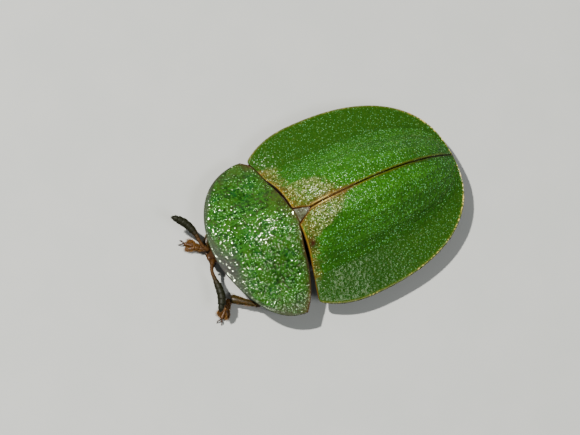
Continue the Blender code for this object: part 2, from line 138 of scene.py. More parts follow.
# Underside, in millimetres: its ends, its half widths down its length, and its grooves as place,
# bow and depth
UNDER_FRONT = -1.25
UNDER_BACK = 5.05
UNDER_WIDTHS = (
    (UNDER_FRONT, 0.55), (-1.0, 0.95), (-0.4, 1.22), (0.05, 1.16), (0.15, 1.34), (1.0, 1.48),
    (2.2, 1.50), (3.4, 1.38), (4.3, 1.02), (4.8, 0.62), (UNDER_BACK, 0.18),
)
UNDER_GROOVES = (
    (0.08, 0.06, 0.12), (1.90, 0.10, 0.05), (2.55, 0.05, 0.03),
    (3.10, 0.05, 0.03), (3.60, 0.06, 0.03), (4.10, 0.10, 0.03),
)

# Bristles: their radius, how far in millimetres they are sunk in and stay off the floor, how many
# make a tuft, and the size of one on the bake map
BRISTLE = 0.0065 * MM
CLEAR = 0.004
TUFT = 100
MAP_SPOT = 0.0015

# Legs: the hip across and along, then knee, ankle and toe, in millimetres
LEGS = {
    "front_left": ((0.50, -0.78), (1.60, -1.60, 0.42), (1.06, -2.20, 0.26), (1.50, -2.72, 0.06)),
    "front_right": ((-0.55, -0.78), (-1.22, -1.60, 0.40), (-0.60, -2.20, 0.25), (-1.07, -2.68, 0.06)),
    "middle_left": ((0.55, 0.85), (1.70, 0.75, 0.40), (2.05, 1.55, 0.24), (2.35, 2.15, 0.06)),
    "middle_right": ((-0.55, 0.85), (-1.70, 0.75, 0.40), (-2.05, 1.55, 0.24), (-2.35, 2.15, 0.06)),
    "hind_left": ((0.50, 1.60), (1.55, 2.50, 0.40), (1.75, 3.40, 0.24), (1.95, 4.10, 0.06)),
    "hind_right": ((-0.50, 1.60), (-1.55, 2.50, 0.40), (-1.75, 3.40, 0.24), (-1.95, 4.10, 0.06)),
}
# Parts of a leg that carry bristles: shin, thigh, two joints of the foot and its two lobes
HAIRY_PARTS = 6

# Feelers: points from root to tip, in millimetres
FEELERS = {
    "left": (
        (-0.10, -2.22, 0.74), (-0.02, -2.34, 0.78), (0.20, -2.46, 0.80), (0.50, -2.50, 0.84),
        (0.80, -2.52, 0.86), (1.05, -2.58, 0.86), (1.24, -2.68, 0.84), (1.40, -2.81, 0.80),
    ),
    "right": (
        (-0.42, -2.22, 0.74), (-0.54, -2.33, 0.78), (-0.78, -2.38, 0.82), (-1.02, -2.40, 0.86),
        (-1.24, -2.46, 0.89), (-1.44, -2.56, 0.92), (-1.62, -2.70, 0.94), (-1.75, -2.84, 0.95),
    ),
}
FEELER_STEPS = 200
# Each joint's share of the feeler's length, its width at the far end and how dark it is
FEELER_JOINTS = (
    (0.120, 0.074, 0.20), (0.058, 0.054, 0.15), (0.080, 0.052, 0.15), (0.078, 0.056, 0.25),
    (0.078, 0.066, 0.55), (0.078, 0.086, 0.85), (0.090, 0.110, 0.97), (0.096, 0.122, 1.00),
    (0.096, 0.126, 1.00), (0.094, 0.118, 1.00), (0.132, 0.094, 1.00),
)

# Camera. Its turns about the X, Y and Z axes start from a view straight down.
VIEW_TURNS = (17.2, 10.8, 62.2)
VIEW_DISTANCE = 93.2 * MM
VIEW_AIM = (0.0, 1.69 * MM, 1.42 * MM)
VIEW_OFFSET = (-1.362 * MM, -0.432 * MM)
FRAME_WIDTH = 17.06 * MM
SENSOR_WIDTH = 36.0


# Settings


def length_setting(name, description, default):
    return FloatProperty(name=name, description=description, default=default, unit="LENGTH")


def count_setting(name, description, default):
    return IntProperty(name=name, description=description, default=default)


def colour_setting(name, description, default):
    return FloatVectorProperty(name=name, description=description, default=default, subtype="COLOR")


class ShellSizes(bpy.types.PropertyGroup):
    """Sizes and colours of the wing cases."""

    pit_spacing: length_setting("Pit spacing", "Distance between pits", 0.118 * MM)
    pit_radius: length_setting("Pit radius", "Radius of a pit", 0.026 * MM)
    pit_depth: length_setting("Pit depth", "Depth of a pit", 0.014 * MM)
    thickness: length_setting("Thickness", "Thickness of a wing case", 0.10 * MM)
    columns: count_setting("Columns", "Faces across a wing case", 200)
    rows: count_setting("Rows", "Faces along a wing case", 440)
    green: colour_setting("Green", "Green of the disc", (0.036, 0.188, 0.006))
    margin_green: colour_setting("Margin", "Green of the margin", (0.022, 0.076, 0.004))
    cream: colour_setting("Cream", "Pale ground round the scutellum", (0.205, 0.240, 0.070))
    gold: colour_setting("Gold", "Rim and lines of gold", (0.26, 0.16, 0.012))


class ShieldSizes(bpy.types.PropertyGroup):
    """Sizes and colours of the neck shield."""

    columns: count_setting("Columns", "Faces across the shield", 470)
    rows: count_setting("Rows", "Faces along the shield", 190)
    grain: length_setting("Grain", "Distance between granules", 0.062 * MM)
    relief: length_setting("Relief", "Height of the granules", 0.010 * MM)
    green: colour_setting("Green", "Dark green of the shield", (0.004, 0.042, 0.001))
    # The pale green is painted light on the raised wrinkles.
    pale: colour_setting("Pale", "Green of the raised wrinkles", (0.024, 0.114, 0.008))
    margin: colour_setting("Margin", "Front margin", (0.052, 0.064, 0.040))


class LimbColours(bpy.types.PropertyGroup):
    """Colours of head, feelers, legs and underside."""

    amber: colour_setting("Amber", "Ground of legs, feelers and head", (0.074, 0.029, 0.004))
    olive: colour_setting("Olive", "Darkest parts of the legs", (0.015, 0.016, 0.003))
    club: colour_setting("Club", "Feeler clubs", (0.010, 0.011, 0.003))
    dark: colour_setting("Dark", "Underside", (0.018, 0.011, 0.007))


# Small helpers


def lerp(a, b, share):
    return a + (b - a) * share


def between(a, b, share):
    return lerp(a[0], b[0], share), lerp(a[1], b[1], share)


def smooth(value, low=0.0, high=1.0):
    """0 below low, 1 above high and a soft step between."""
    t = np.clip((value - low) / (high - low), 0.0, 1.0)
    return t * t * (3 - 2 * t)


def ramp(value, low, high):
    """The same soft step, between two lengths in millimetres."""
    return smooth(value, low * MM, high * MM)


def bell(value, width, middle=0.0, unit=MM):
    """1 at the middle and falling off over the width, both in millimetres or another unit."""
    return np.exp(-(((value - middle * unit) / (width * unit)) ** 2))


def spot(x, y, middle, widths, unit=MM):
    """A bell round a point, with a width each way."""
    across = ((x - middle[0] * unit) / (widths[0] * unit)) ** 2
    along = ((y - middle[1] * unit) / (widths[1] * unit)) ** 2
    return np.exp(-across - along)


def noise_at(points, size, seed=0.0):
    """Soft noise from -1 to 1 at each point, with lumps of about the given size."""
    shift = Vector((seed, seed * 0.7, seed * 1.3))
    return np.fromiter((noise.noise(Vector(p) / size + shift) for p in points), float, len(points))


def cell_distance(points, size, seed=0.0):
    """Distance to the nearest of many scattered centres, in cell sizes, at each point."""
    shift = Vector((seed, seed * 1.7, 0.0))
    return np.fromiter((noise.voronoi(Vector(p) / size + shift)[0][0] for p in points), float, len(points))


def tree_of(points):
    """A search tree over points."""
    tree = kdtree.KDTree(len(points))
    for number, point in enumerate(points):
        tree.insert(point, number)
    tree.balance()
    return tree


# Shape of the wing cases


def back_share(y):
    """0 at the widest place and in front of it, 1 at the tail."""
    return np.clip((y - WIDEST) / (TAIL - WIDEST), 0, 1)


def half_width(y):
    """Half the width of the closed wing cases at y."""
    fore = np.clip((WIDEST - y) / SHOULDER_REACH, 0, 1)
    rear = (1 - back_share(y) ** TAIL_POWER) ** (1 / TAIL_POWER)
    front = (1 - fore**SHOULDER_POWER) ** (1 / SHOULDER_POWER)
    return HALF_WIDTH * np.where(y > WIDEST, rear, front)


def base_edge(x):
    """Where the front edge of the wing cases lies, off the middle line by x."""
    return BASE_DEPTH * (1 - np.minimum(1.0, np.abs(x) / BASE_HALF_WIDTH) ** 4)


def disc_width(y):
    """Half the width of the raised disc, inside the groove."""
    return DISC_HALF_WIDTH * (1 - back_share(y) ** 2.6) ** (1 / 2.4)


def crest(y):
    """Height of the wing cases along the suture."""
    front = CREST - CREST_FRONT_FALL * (CREST_Y - y) ** 2
    along = np.clip((y - CREST_Y) / (TAIL - CREST_Y), 0, 1)
    rear = RIM_Z + (CREST - RIM_Z) * (1 - along**CREST_REAR_POWER)
    return np.where(y < CREST_Y, front, rear)


def shell_height(x, y):
    """Height of the smooth wing cases: a dome, a groove and a flat margin."""
    x = np.abs(x)
    disc, rim = np.maximum(disc_width(y), TINY), half_width(y)
    groove = RIM_Z + GROOVE_RISE * (1 - back_share(y) ** 2)
    outer = np.clip((x - disc) / np.maximum(rim - disc, TINY), 0, 1)
    dome = (1 - np.minimum(1.0, x / disc) ** 2.3) ** 1.2
    fall = BASE_FALL * np.exp(-(((y - base_edge(x)) / BASE_FALL_LENGTH) ** 2))
    return lerp(groove, RIM_Z, outer) + (crest(y) - groove) * dome - fall * (1 - outer)


def rounded_height(x, y):
    """The same height with the crease of the groove rounded, as the mean over a short way across."""
    steps = (-1, -0.5, 0, 0.5, 1)
    return sum(shell_height(x + step * GROOVE_ROUNDING, y) for step in steps) / len(steps)


def rounded_corner(share, start, corner, end):
    return between(between(start, corner, share), between(corner, end, share), share)


def shoulder():
    """The points between which the front corner of a wing case is rounded."""
    x = BASE_HALF_WIDTH - SHOULDER_ROUNDING
    start = (x, float(base_edge(x)))
    end = (float(half_width(SHOULDER_ROUNDING)), SHOULDER_ROUNDING)
    return start, (BASE_HALF_WIDTH, 0.0), end


def front_edge(u):
    """The front edge of a wing case, from the scutellum out to the shoulder."""
    start, corner, end = shoulder()
    if u < BASE_SHARE:
        x = lerp(SCUTELLUM_HALF, start[0], u / BASE_SHARE)
        return x, float(base_edge(x))
    return rounded_corner((u - BASE_SHARE) / (2 * (1 - BASE_SHARE)), start, corner, end)


def outer_edge(v):
    """The rim of a wing case, from the shoulder back to the tail."""
    if v < ROUND_SHARE:
        return rounded_corner(0.5 + v / (2 * ROUND_SHARE), *shoulder())
    lead = math.asin((WIDEST - SHOULDER_ROUNDING) / SHOULDER_REACH)
    angle = lerp(-lead, math.pi / 2, (v - ROUND_SHARE) / (1 - ROUND_SHARE))
    if angle < 0:
        y = WIDEST + SHOULDER_REACH * math.sin(angle)
    else:
        y = WIDEST + (TAIL - WIDEST) * math.sin(angle) ** (2 / TAIL_POWER)
    return float(half_width(y)), y


def inner_edge(v):
    """The inner edge of a wing case, past the scutellum and down the suture."""
    if v < PLATE_SHARE:
        front = (SCUTELLUM_HALF, float(base_edge(SCUTELLUM_HALF)))
        return between(front, (SUTURE, SCUTELLUM_TIP), v / PLATE_SHARE)
    return SUTURE, lerp(SCUTELLUM_TIP, TAIL, (v - PLATE_SHARE) / (1 - PLATE_SHARE))


# Making meshes


def wrapped(top, wall=4, under=8):
    """Places round a flat section: over the top, down the far wall, back beneath, up the near wall.

    Gives for each its place across, from 0 to 1, and its depth, from 0 on top to 1 beneath.
    """
    across = [*np.linspace(0, 1, top + 1), *[1.0] * (wall - 1), *np.linspace(1, 0, under + 1)]
    down = np.linspace(0, 1, wall + 1)[1:-1]
    depth = [*[0.0] * (top + 1), *down, *[1.0] * (under + 1)]
    return np.array([*across, *[0.0] * wall]), np.array([*depth, *down[::-1], 0.0])


def new_mesh(made, name):
    """A new mesh from a bmesh, which is freed."""
    mesh = bpy.data.meshes.new(name)
    made.to_mesh(mesh)
    made.free()
    return mesh


def grid(name, columns, rows):
    """A flat grid from bmesh, with the place of each point as column and row numbers."""
    made = bmesh.new()
    bmesh.ops.create_grid(made, x_segments=columns, y_segments=rows, size=0.5)
    mesh = new_mesh(made, name)
    places = np.empty(len(mesh.vertices) * 3)
    mesh.vertices.foreach_get("co", places)
    places = places.reshape(-1, 3)
    column = np.rint((places[:, 0] + 0.5) * columns).astype(int)
    row = np.rint((places[:, 1] + 0.5) * rows).astype(int)
    return mesh, column, row


def add_fields(mesh, **fields):
    """Keeps named numbers for each point, which a material reads."""
    for name, values in fields.items():
        layer = mesh.attributes.new(name, "FLOAT", "POINT")
        layer.data.foreach_set("value", np.asarray(values, np.float32))


def placed(mesh, places):
    """A bmesh of a grid with its points moved into place."""
    mesh.vertices.foreach_set("co", np.asarray(places, np.float32).ravel())
    made = bmesh.new()
    made.from_mesh(mesh)
    return made


def finished(made, mesh):
    """The mesh with the bmesh's shape, its faces smooth and turned outwards."""
    bmesh.ops.recalc_face_normals(made, faces=made.faces[:])
    made.to_mesh(mesh)
    made.free()
    mesh.shade_smooth()
    return mesh


def close_up(mesh, places, cap=False):
    """Moves a grid's points into place, welds what meets and turns the faces outwards."""
    made = placed(mesh, places)
    bmesh.ops.remove_doubles(made, verts=made.verts[:], dist=WELD)
    if cap:
        open_edges = [edge for edge in made.edges if edge.is_boundary]
        closed = bmesh.ops.holes_fill(made, edges=open_edges)
        bmesh.ops.triangulate(made, faces=closed["faces"])
    bmesh.ops.dissolve_degenerate(made, dist=COLLAPSE, edges=made.edges[:])
    return finished(made, mesh)


def joined(meshes):
    """One mesh from several, each kept as its own closed surface."""
    made = bmesh.new()
    for mesh in meshes:
        made.from_mesh(mesh)
    whole = new_mesh(made, "joined")
    whole.shade_smooth()
    return whole


def add_object(name, data):
    """Puts a new object into the scene."""
    made = bpy.data.objects.new(name, data)
    bpy.context.scene.collection.objects.link(made)
    return made


def piece(name, mesh, finish, slot, *nodes):
    """Adds a finished piece to the model, in place of the frame's nodes."""
    mesh.name = name
    mesh.materials.clear()
    mesh.materials.append(finish)
    made = add_object(name, mesh)
    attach(made, BODY)
    if nodes:
        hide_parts(*nodes)


# Finishes


class Finish:
    """A Principled material under construction, with short ways to add its nodes."""

    def __init__(self, name):
        self.material = bpy.data.materials.new(name)
        self.material.use_nodes = True
        self.tree = self.material.node_tree
        self.shader = self.tree.nodes["Principled BSDF"]
        self.place = self.node("TexCoord").outputs["Object"]

    def give(self, socket, value):
        """Links a socket to a node's output, or sets it to a number, a vector or a colour."""
        if isinstance(value, bpy.types.NodeSocket):
            self.tree.links.new(value, socket)
        elif socket.type == "RGBA":
            socket.default_value = (*value, 1.0)
        else:
            socket.default_value = value

    def fill(self, node, inputs):
        for word, value in inputs.items():
            self.give(node.inputs[word.replace("_", " ")], value)

    def node(self, kind, **inputs):
        node = self.tree.nodes.new("ShaderNode" + kind)
        self.fill(node, inputs)
        return node

    def set(self, **inputs):
        """Gives the shader its inputs."""
        self.fill(self.shader, inputs)

    def mapped(self, size, seed=0.0):
        """The place on the piece, measured in sizes."""
        mapping = self.node("Mapping", Vector=self.place, Location=[seed] * 3, Scale=[1 / size] * 3)
        return mapping.outputs["Vector"]

    def noise(self, size, detail=3.0, roughness=0.55, seed=0.0):
        """Noise with lumps of a real size, in metres."""
        texture = self.node("TexNoise", Vector=self.mapped(size, seed), Scale=1)
        self.fill(texture, {"Detail": detail, "Roughness": roughness})
        return texture.outputs["Fac"]

    def cells(self, size):
        """Distance from the nearest cell centre, in cell sizes, and a chance value for each cell."""
        texture = self.node("TexVoronoi", Vector=self.mapped(size), Scale=1)
        return texture.outputs["Distance"], texture.outputs["Color"]

    def field(self, name):
        node = self.node("Attribute")
        node.attribute_name = name
        return node.outputs["Fac"]

    def span(self, source, low, high, to_low=0.0, to_high=1.0):
        """Maps a range of one value to another range, softly."""
        ends = {"From_Min": low, "From_Max": high, "To_Min": to_low, "To_Max": to_high}
        node = self.node("MapRange", Value=source, **ends)
        node.interpolation_type = "SMOOTHSTEP"
        return node.outputs["Result"]

    def chain(self, operation, values):
        total = values[0]
        for value in values[1:]:
            node = self.node("Math")
            node.operation = operation
            self.give(node.inputs[0], total)
            self.give(node.inputs[1], value)
            total = node.outputs[0]
        return total

    def plus(self, *values):
        return self.chain("ADD", values)

    def times(self, *values):
        return self.chain("MULTIPLY", values)

    def mix(self, share, a, b):
        """Mixes two colours by a share between 0 and 1."""
        node = self.node("Mix")
        node.data_type = "RGBA"
        for socket, value in ((0, share), (6, a), (7, b)):
            self.give(node.inputs[socket], value)
        return node.outputs[2]

    def coats(self, colour, *layers):
        """Lays colours over a ground. Each layer is a share and a colour."""
        for share, paint in layers:
            colour = self.mix(share, colour, paint)
        return colour

    def bump(self, height, distance, strength=1.0):
        normal = self.node("Bump", Height=height, Distance=distance, Strength=strength).outputs["Normal"]
        self.set(Normal=normal, Coat_Normal=normal)


def dimmed(colour, share):
    return [channel * share for channel in colour]


def shell_finish(colours):
    """Waxy green cuticle, pale round the scutellum, with a gold rim and a brown suture. Painted light lies
    on the ribs; painted shade lies between them, in the groove and in the pits; painted glints are
    scattered over it.
    """
    finish = Finish("wing_case_cuticle")
    field, span, plus, times = finish.field, finish.span, finish.plus, finish.times
    mottle = finish.noise(0.11 * MM, 4.0, 0.65, seed=5.0)
    grain = finish.noise(0.070 * MM, 2.0, 0.6, seed=7.0)
    patch = finish.noise(0.22 * MM, 3.0, 0.6, seed=2.0)
    blotch = finish.noise(0.065 * MM, 3.0, 0.7, seed=9.0)
    rib, margin, groove, tan, glow = (field(name) for name in ("rib", "margin", "groove", "tan", "glow"))
    ground = finish.coats(
        colours.green,
        (span(finish.noise(0.9 * MM, 2.0), 0.35, 0.65), dimmed(colours.green, 0.70)),
        (span(mottle, 0.42, 0.70, 0.0, 0.35), (0.060, 0.150, 0.010)),
        # Painted light along the ribs and painted shade between them.
        (span(rib, 0.0, 1.0, 0.22, 0.0), (0.018, 0.105, 0.003)),
        (span(rib, 0.4, 1.0, 0.0, 0.22), (0.070, 0.270, 0.014)),
        (margin, colours.margin_green),
        # Painted shade in the groove between disc and margin, on the front of the left case's margin and
        # over all of the right case.
        (groove, (0.012, 0.050, 0.003)),
    )
    cream = finish.coats(
        colours.cream,
        (span(mottle, 0.44, 0.54), (0.060, 0.085, 0.010)),
        (times(span(patch, 0.36, 0.60, 0.3, 0.9), tan), (0.160, 0.078, 0.010)),
        (times(span(blotch, 0.50, 0.60, 0.0, 0.70), span(tan, 0.0, 1.0, 0.4, 1.0)), (0.055, 0.032, 0.006)),
    )
    wander = plus(span(patch, 0.3, 0.7, -0.30, 0.30), span(mottle, 0.3, 0.7, -0.3, 0.3))
    edge = plus(field("cream"), wander)
    # Painted glints: small pale flecks scattered over the cuticle, crowded on the pale ground and fewer on
    # the margin and in the painted shade of the groove.
    near, shade = finish.cells(0.048 * MM)
    crowd = times(span(edge, 0.30, 1.05, 0.0, 0.27), span(tan, 0.1, 1.0, 1.0, 0.2))
    shade = plus(shade, crowd)
    near = plus(near, times(crowd, -0.12))
    painted_glints = times(
        span(near, 0.12, 0.38, 1.0, 0.0),
        span(shade, 0.26, 0.74),
        span(patch, 0.30, 0.62, 0.50, 1.0),
        span(margin, 0.0, 1.0, 1.0, 0.40),
        span(groove, 0.45, 0.70, 1.0, 0.40),
        field("top"),
    )
    light = finish.coats(
        (0.48, 0.84, 0.24),
        (span(shade, 0.45, 0.70), (0.36, 0.92, 0.40)),
        (span(edge, 0.30, 1.05), (0.86, 1.00, 0.40)),
    )
    # Brighter painted glints crowded over the hump by the scutellum.
    glint = times(
        span(plus(shade, times(glow, 0.30)), 0.84, 1.04),
        span(near, 0.08, 0.32, 1.0, 0.0),
        span(glow, 0.15, 0.60),
    )
    colour = finish.coats(
        ground,
        (span(edge, 0.15, 1.10, 0.0, 0.85), cream),
        (span(grain, 0.36, 0.60, 0.60, 0.0), (0.010, 0.055, 0.002)),
        (painted_glints, light),
        (glint, (0.94, 1.00, 0.72)),
        # Painted shade in the pits.
        (times(field("pit"), 0.5), (0.012, 0.060, 0.010)),
        (times(field("callus"), span(grain, 0.38, 0.50, 0.6, 1.0)), (0.040, 0.010, 0.005)),
        (field("rim"), (0.150, 0.180, 0.085)),
        (field("gold"), colours.gold),
        (field("brown"), (0.105, 0.042, 0.007)),
        # Darker marks: the suture line and its stain, which the beetle has, a painted shadow along the
        # right case's base edge under the shield, and the darker walls and underside.
        (field("dark"), (0.010, 0.003, 0.002)),
        # Painted glints on the suture's beads near the scutellum and along the rim.
        (field("gleam"), (0.80, 0.63, 0.16)),
    )
    rough = plus(span(mottle, 0.3, 0.7, 0.14, 0.18), times(margin, 0.08), times(painted_glints, -0.06))
    finish.set(Base_Color=colour, Roughness=rough, Specular_IOR_Level=0.30, Specular_Tint=(0.85, 1.0, 0.70))
    finish.set(Subsurface_Weight=0.06, Subsurface_Scale=0.10 * MM)
    finish.bump(times(finish.noise(0.080 * MM, 1.0), span(margin, 0.0, 1.0, 1.0, 0.45)), 0.018 * MM)
    return finish.material


def shield_finish(colours):
    """Dark green cuticle with painted glints on its grains and painted light on its wrinkle crests, greyer
    and duller towards its front margin, with painted shadow along the right part of its hind edge.
    """
    finish = Finish("neck_shield_cuticle")
    field, span, times = finish.field, finish.span, finish.times
    lumps = finish.noise(0.6 * MM, 2.0, seed=3.0)
    brown = finish.noise(0.35 * MM, 4.0, 0.6, seed=11.0)
    tint = finish.noise(0.40 * MM, 2.0, 0.5, seed=21.0)
    margin, top = field("margin"), field("top")
    near, shade = finish.cells(0.050 * MM)
    shine = times(field("shine"), top)
    # Painted glints on the grains: a green halo and a bright core, crowded where the painted shine is
    # strong.
    glint_halo = times(span(near, 0.16, 0.44, 1.0, 0.0), span(shade, 0.34, 0.76))
    glint_halo = times(glint_halo, span(shine, 0.0, 1.0, 0.0, 0.95))
    chosen = finish.plus(shade, span(shine, 0.0, 1.0, 0.0, 0.30))
    glint_core = times(span(near, 0.06, 0.28, 1.0, 0.0), span(chosen, 0.74, 0.92), top)
    colour = finish.coats(
        colours.green,
        (span(lumps, 0.35, 0.65), dimmed(colours.green, 0.65)),
        (span(brown, 0.45, 0.62, 0.0, 0.7), (0.040, 0.048, 0.014)),
        (span(tint, 0.48, 0.64, 0.0, 0.7), (0.032, 0.110, 0.004)),
        (span(tint, 0.34, 0.48, 0.6, 0.0), (0.004, 0.070, 0.012)),
        # Painted light on the raised wrinkles.
        (field("rise"), colours.pale),
        (margin, colours.margin),
        (field("grey"), (0.058, 0.053, 0.054)),
        (glint_halo, finish.mix(margin, (0.22, 0.66, 0.20), (0.40, 0.44, 0.36))),
        (glint_core, finish.mix(margin, (0.60, 1.00, 0.46), (0.60, 0.60, 0.58))),
        (field("base"), (0.060, 0.030, 0.010)),
        # Painted shadow along the hind edge's right part.
        (field("dark"), (0.008, 0.005, 0.003)),
    )
    rough = finish.plus(span(lumps, 0.3, 0.7, 0.07, 0.11), times(margin, 0.05))
    finish.set(Base_Color=colour, Roughness=rough, Specular_IOR_Level=0.62, Specular_Tint=(0.82, 1.0, 0.66))
    finish.set(Subsurface_Weight=0.05, Subsurface_Scale=0.10 * MM)
    finish.bump(finish.noise(0.080 * MM, 1.0), 0.003 * MM)
    return finish.material


def plate_finish():
    """Grey-green cuticle of the scutellum, with painted pale glints and a brown edge."""
    finish = Finish("scutellum_cuticle")
    tone = finish.noise(0.09 * MM, 3.0)
    near, shade = finish.cells(0.055 * MM)
    colour = finish.coats(
        (0.098, 0.108, 0.062),
        (finish.span(tone, 0.4, 0.62), (0.042, 0.040, 0.018)),
        # Painted glints: pale flecks.
        (
            finish.times(finish.span(near, 0.14, 0.38, 1.0, 0.0), finish.span(shade, 0.45, 0.75), 0.6),
            (0.62, 0.68, 0.56),
        ),
        (finish.field("edge"), (0.060, 0.022, 0.008)),
    )
    finish.set(Base_Color=colour, Roughness=0.26, Specular_IOR_Level=0.3)
    finish.bump(tone, 0.010 * MM, 0.8)
    return finish.material


def limb_finish(name, colour, tip, size, roughness, coat):
    """Fine-grained cuticle, from one colour to another as each part's own field says."""
    finish = Finish(name)
    tone = finish.span(finish.noise(size, 3.0), 0.35, 0.65, 0.0, 0.4)
    colour = finish.coats(colour, (tone, dimmed(colour, 0.55)), (finish.field("along"), tip))
    finish.set(Base_Color=colour, Roughness=roughness, Specular_IOR_Level=0.20)
    finish.set(Coat_Weight=coat, Coat_Roughness=0.2)
    finish.bump(finish.noise(size * 0.5, 2.0), 0.006 * MM, 0.7)
    return finish.material


def plain_finish(name, colour, other, size, roughness=0.3, coat=0.3, lift=0.005 * MM):
    """A surface mottled with two colours."""
    finish = Finish(name)
    tone = finish.noise(size, 4.0)
    colour = finish.mix(finish.span(tone, 0.35, 0.65), colour, other)
    finish.set(Base_Color=colour, Roughness=roughness, Coat_Weight=coat, Coat_Roughness=0.2)
    finish.bump(tone, lift, 0.8)
    return finish.material


# Wing cases


def pit_centres(sizes, seed):
    """Pits of a wing case: rough rows down the disc, and a looser scatter on the margin."""
    draw = random.Random(seed)
    pits = []
    rows = int(DISC_HALF_WIDTH / sizes.pit_spacing)
    for row in range(1, rows + 1):
        y = 0.30 * MM + draw.uniform(0, sizes.pit_spacing)
        while y < TAIL - 0.18 * MM:
            x = row / (rows + 0.7) * float(disc_width(y)) + draw.gauss(0, 0.014 * MM)
            if y > float(base_edge(x)) + 0.07 * MM:
                pits.append((x, y, sizes.pit_radius * draw.uniform(0.75, 1.25)))
            y += sizes.pit_spacing * draw.uniform(0.72, 1.25)
    y = 0.10 * MM
    while y < TAIL - 0.12 * MM:
        x = float(disc_width(y)) + draw.uniform(0.02, 0.10) * MM
        while x < float(half_width(y)) - 0.09 * MM:
            radius = sizes.pit_radius * draw.uniform(0.7, 1.15)
            pits.append((x + draw.gauss(0, 0.03 * MM), y + draw.gauss(0, 0.04 * MM), radius))
            x += sizes.pit_spacing * draw.uniform(0.85, 1.35)
        y += sizes.pit_spacing * 1.05
    return pits


def nearest_pit(x, y, pits):
    """Distance to the nearest pit's centre over its radius."""
    tree = tree_of([(across, along, 0) for across, along, _ in pits])
    found = np.empty(len(x))
    for number, place in enumerate(zip(x, y)):
        _, which, distance = tree.find((*place, 0))
        found[number] = distance / pits[which][2]
    return found


def plate_distance(x, y):
    """Distance from the side of the scutellum."""
    start, end = inner_edge(0.0), inner_edge(PLATE_SHARE)
    length = math.hypot(end[0] - start[0], end[1] - start[1])
    way = ((end[0] - start[0]) / length, (end[1] - start[1]) / length)
    along = (x - start[0]) * way[0] + (y - start[1]) * way[1]
    off = np.abs((x - start[0]) * way[1] - (y - start[1]) * way[0])
    return np.hypot(off, np.maximum(0, np.maximum(-along, along - length)))


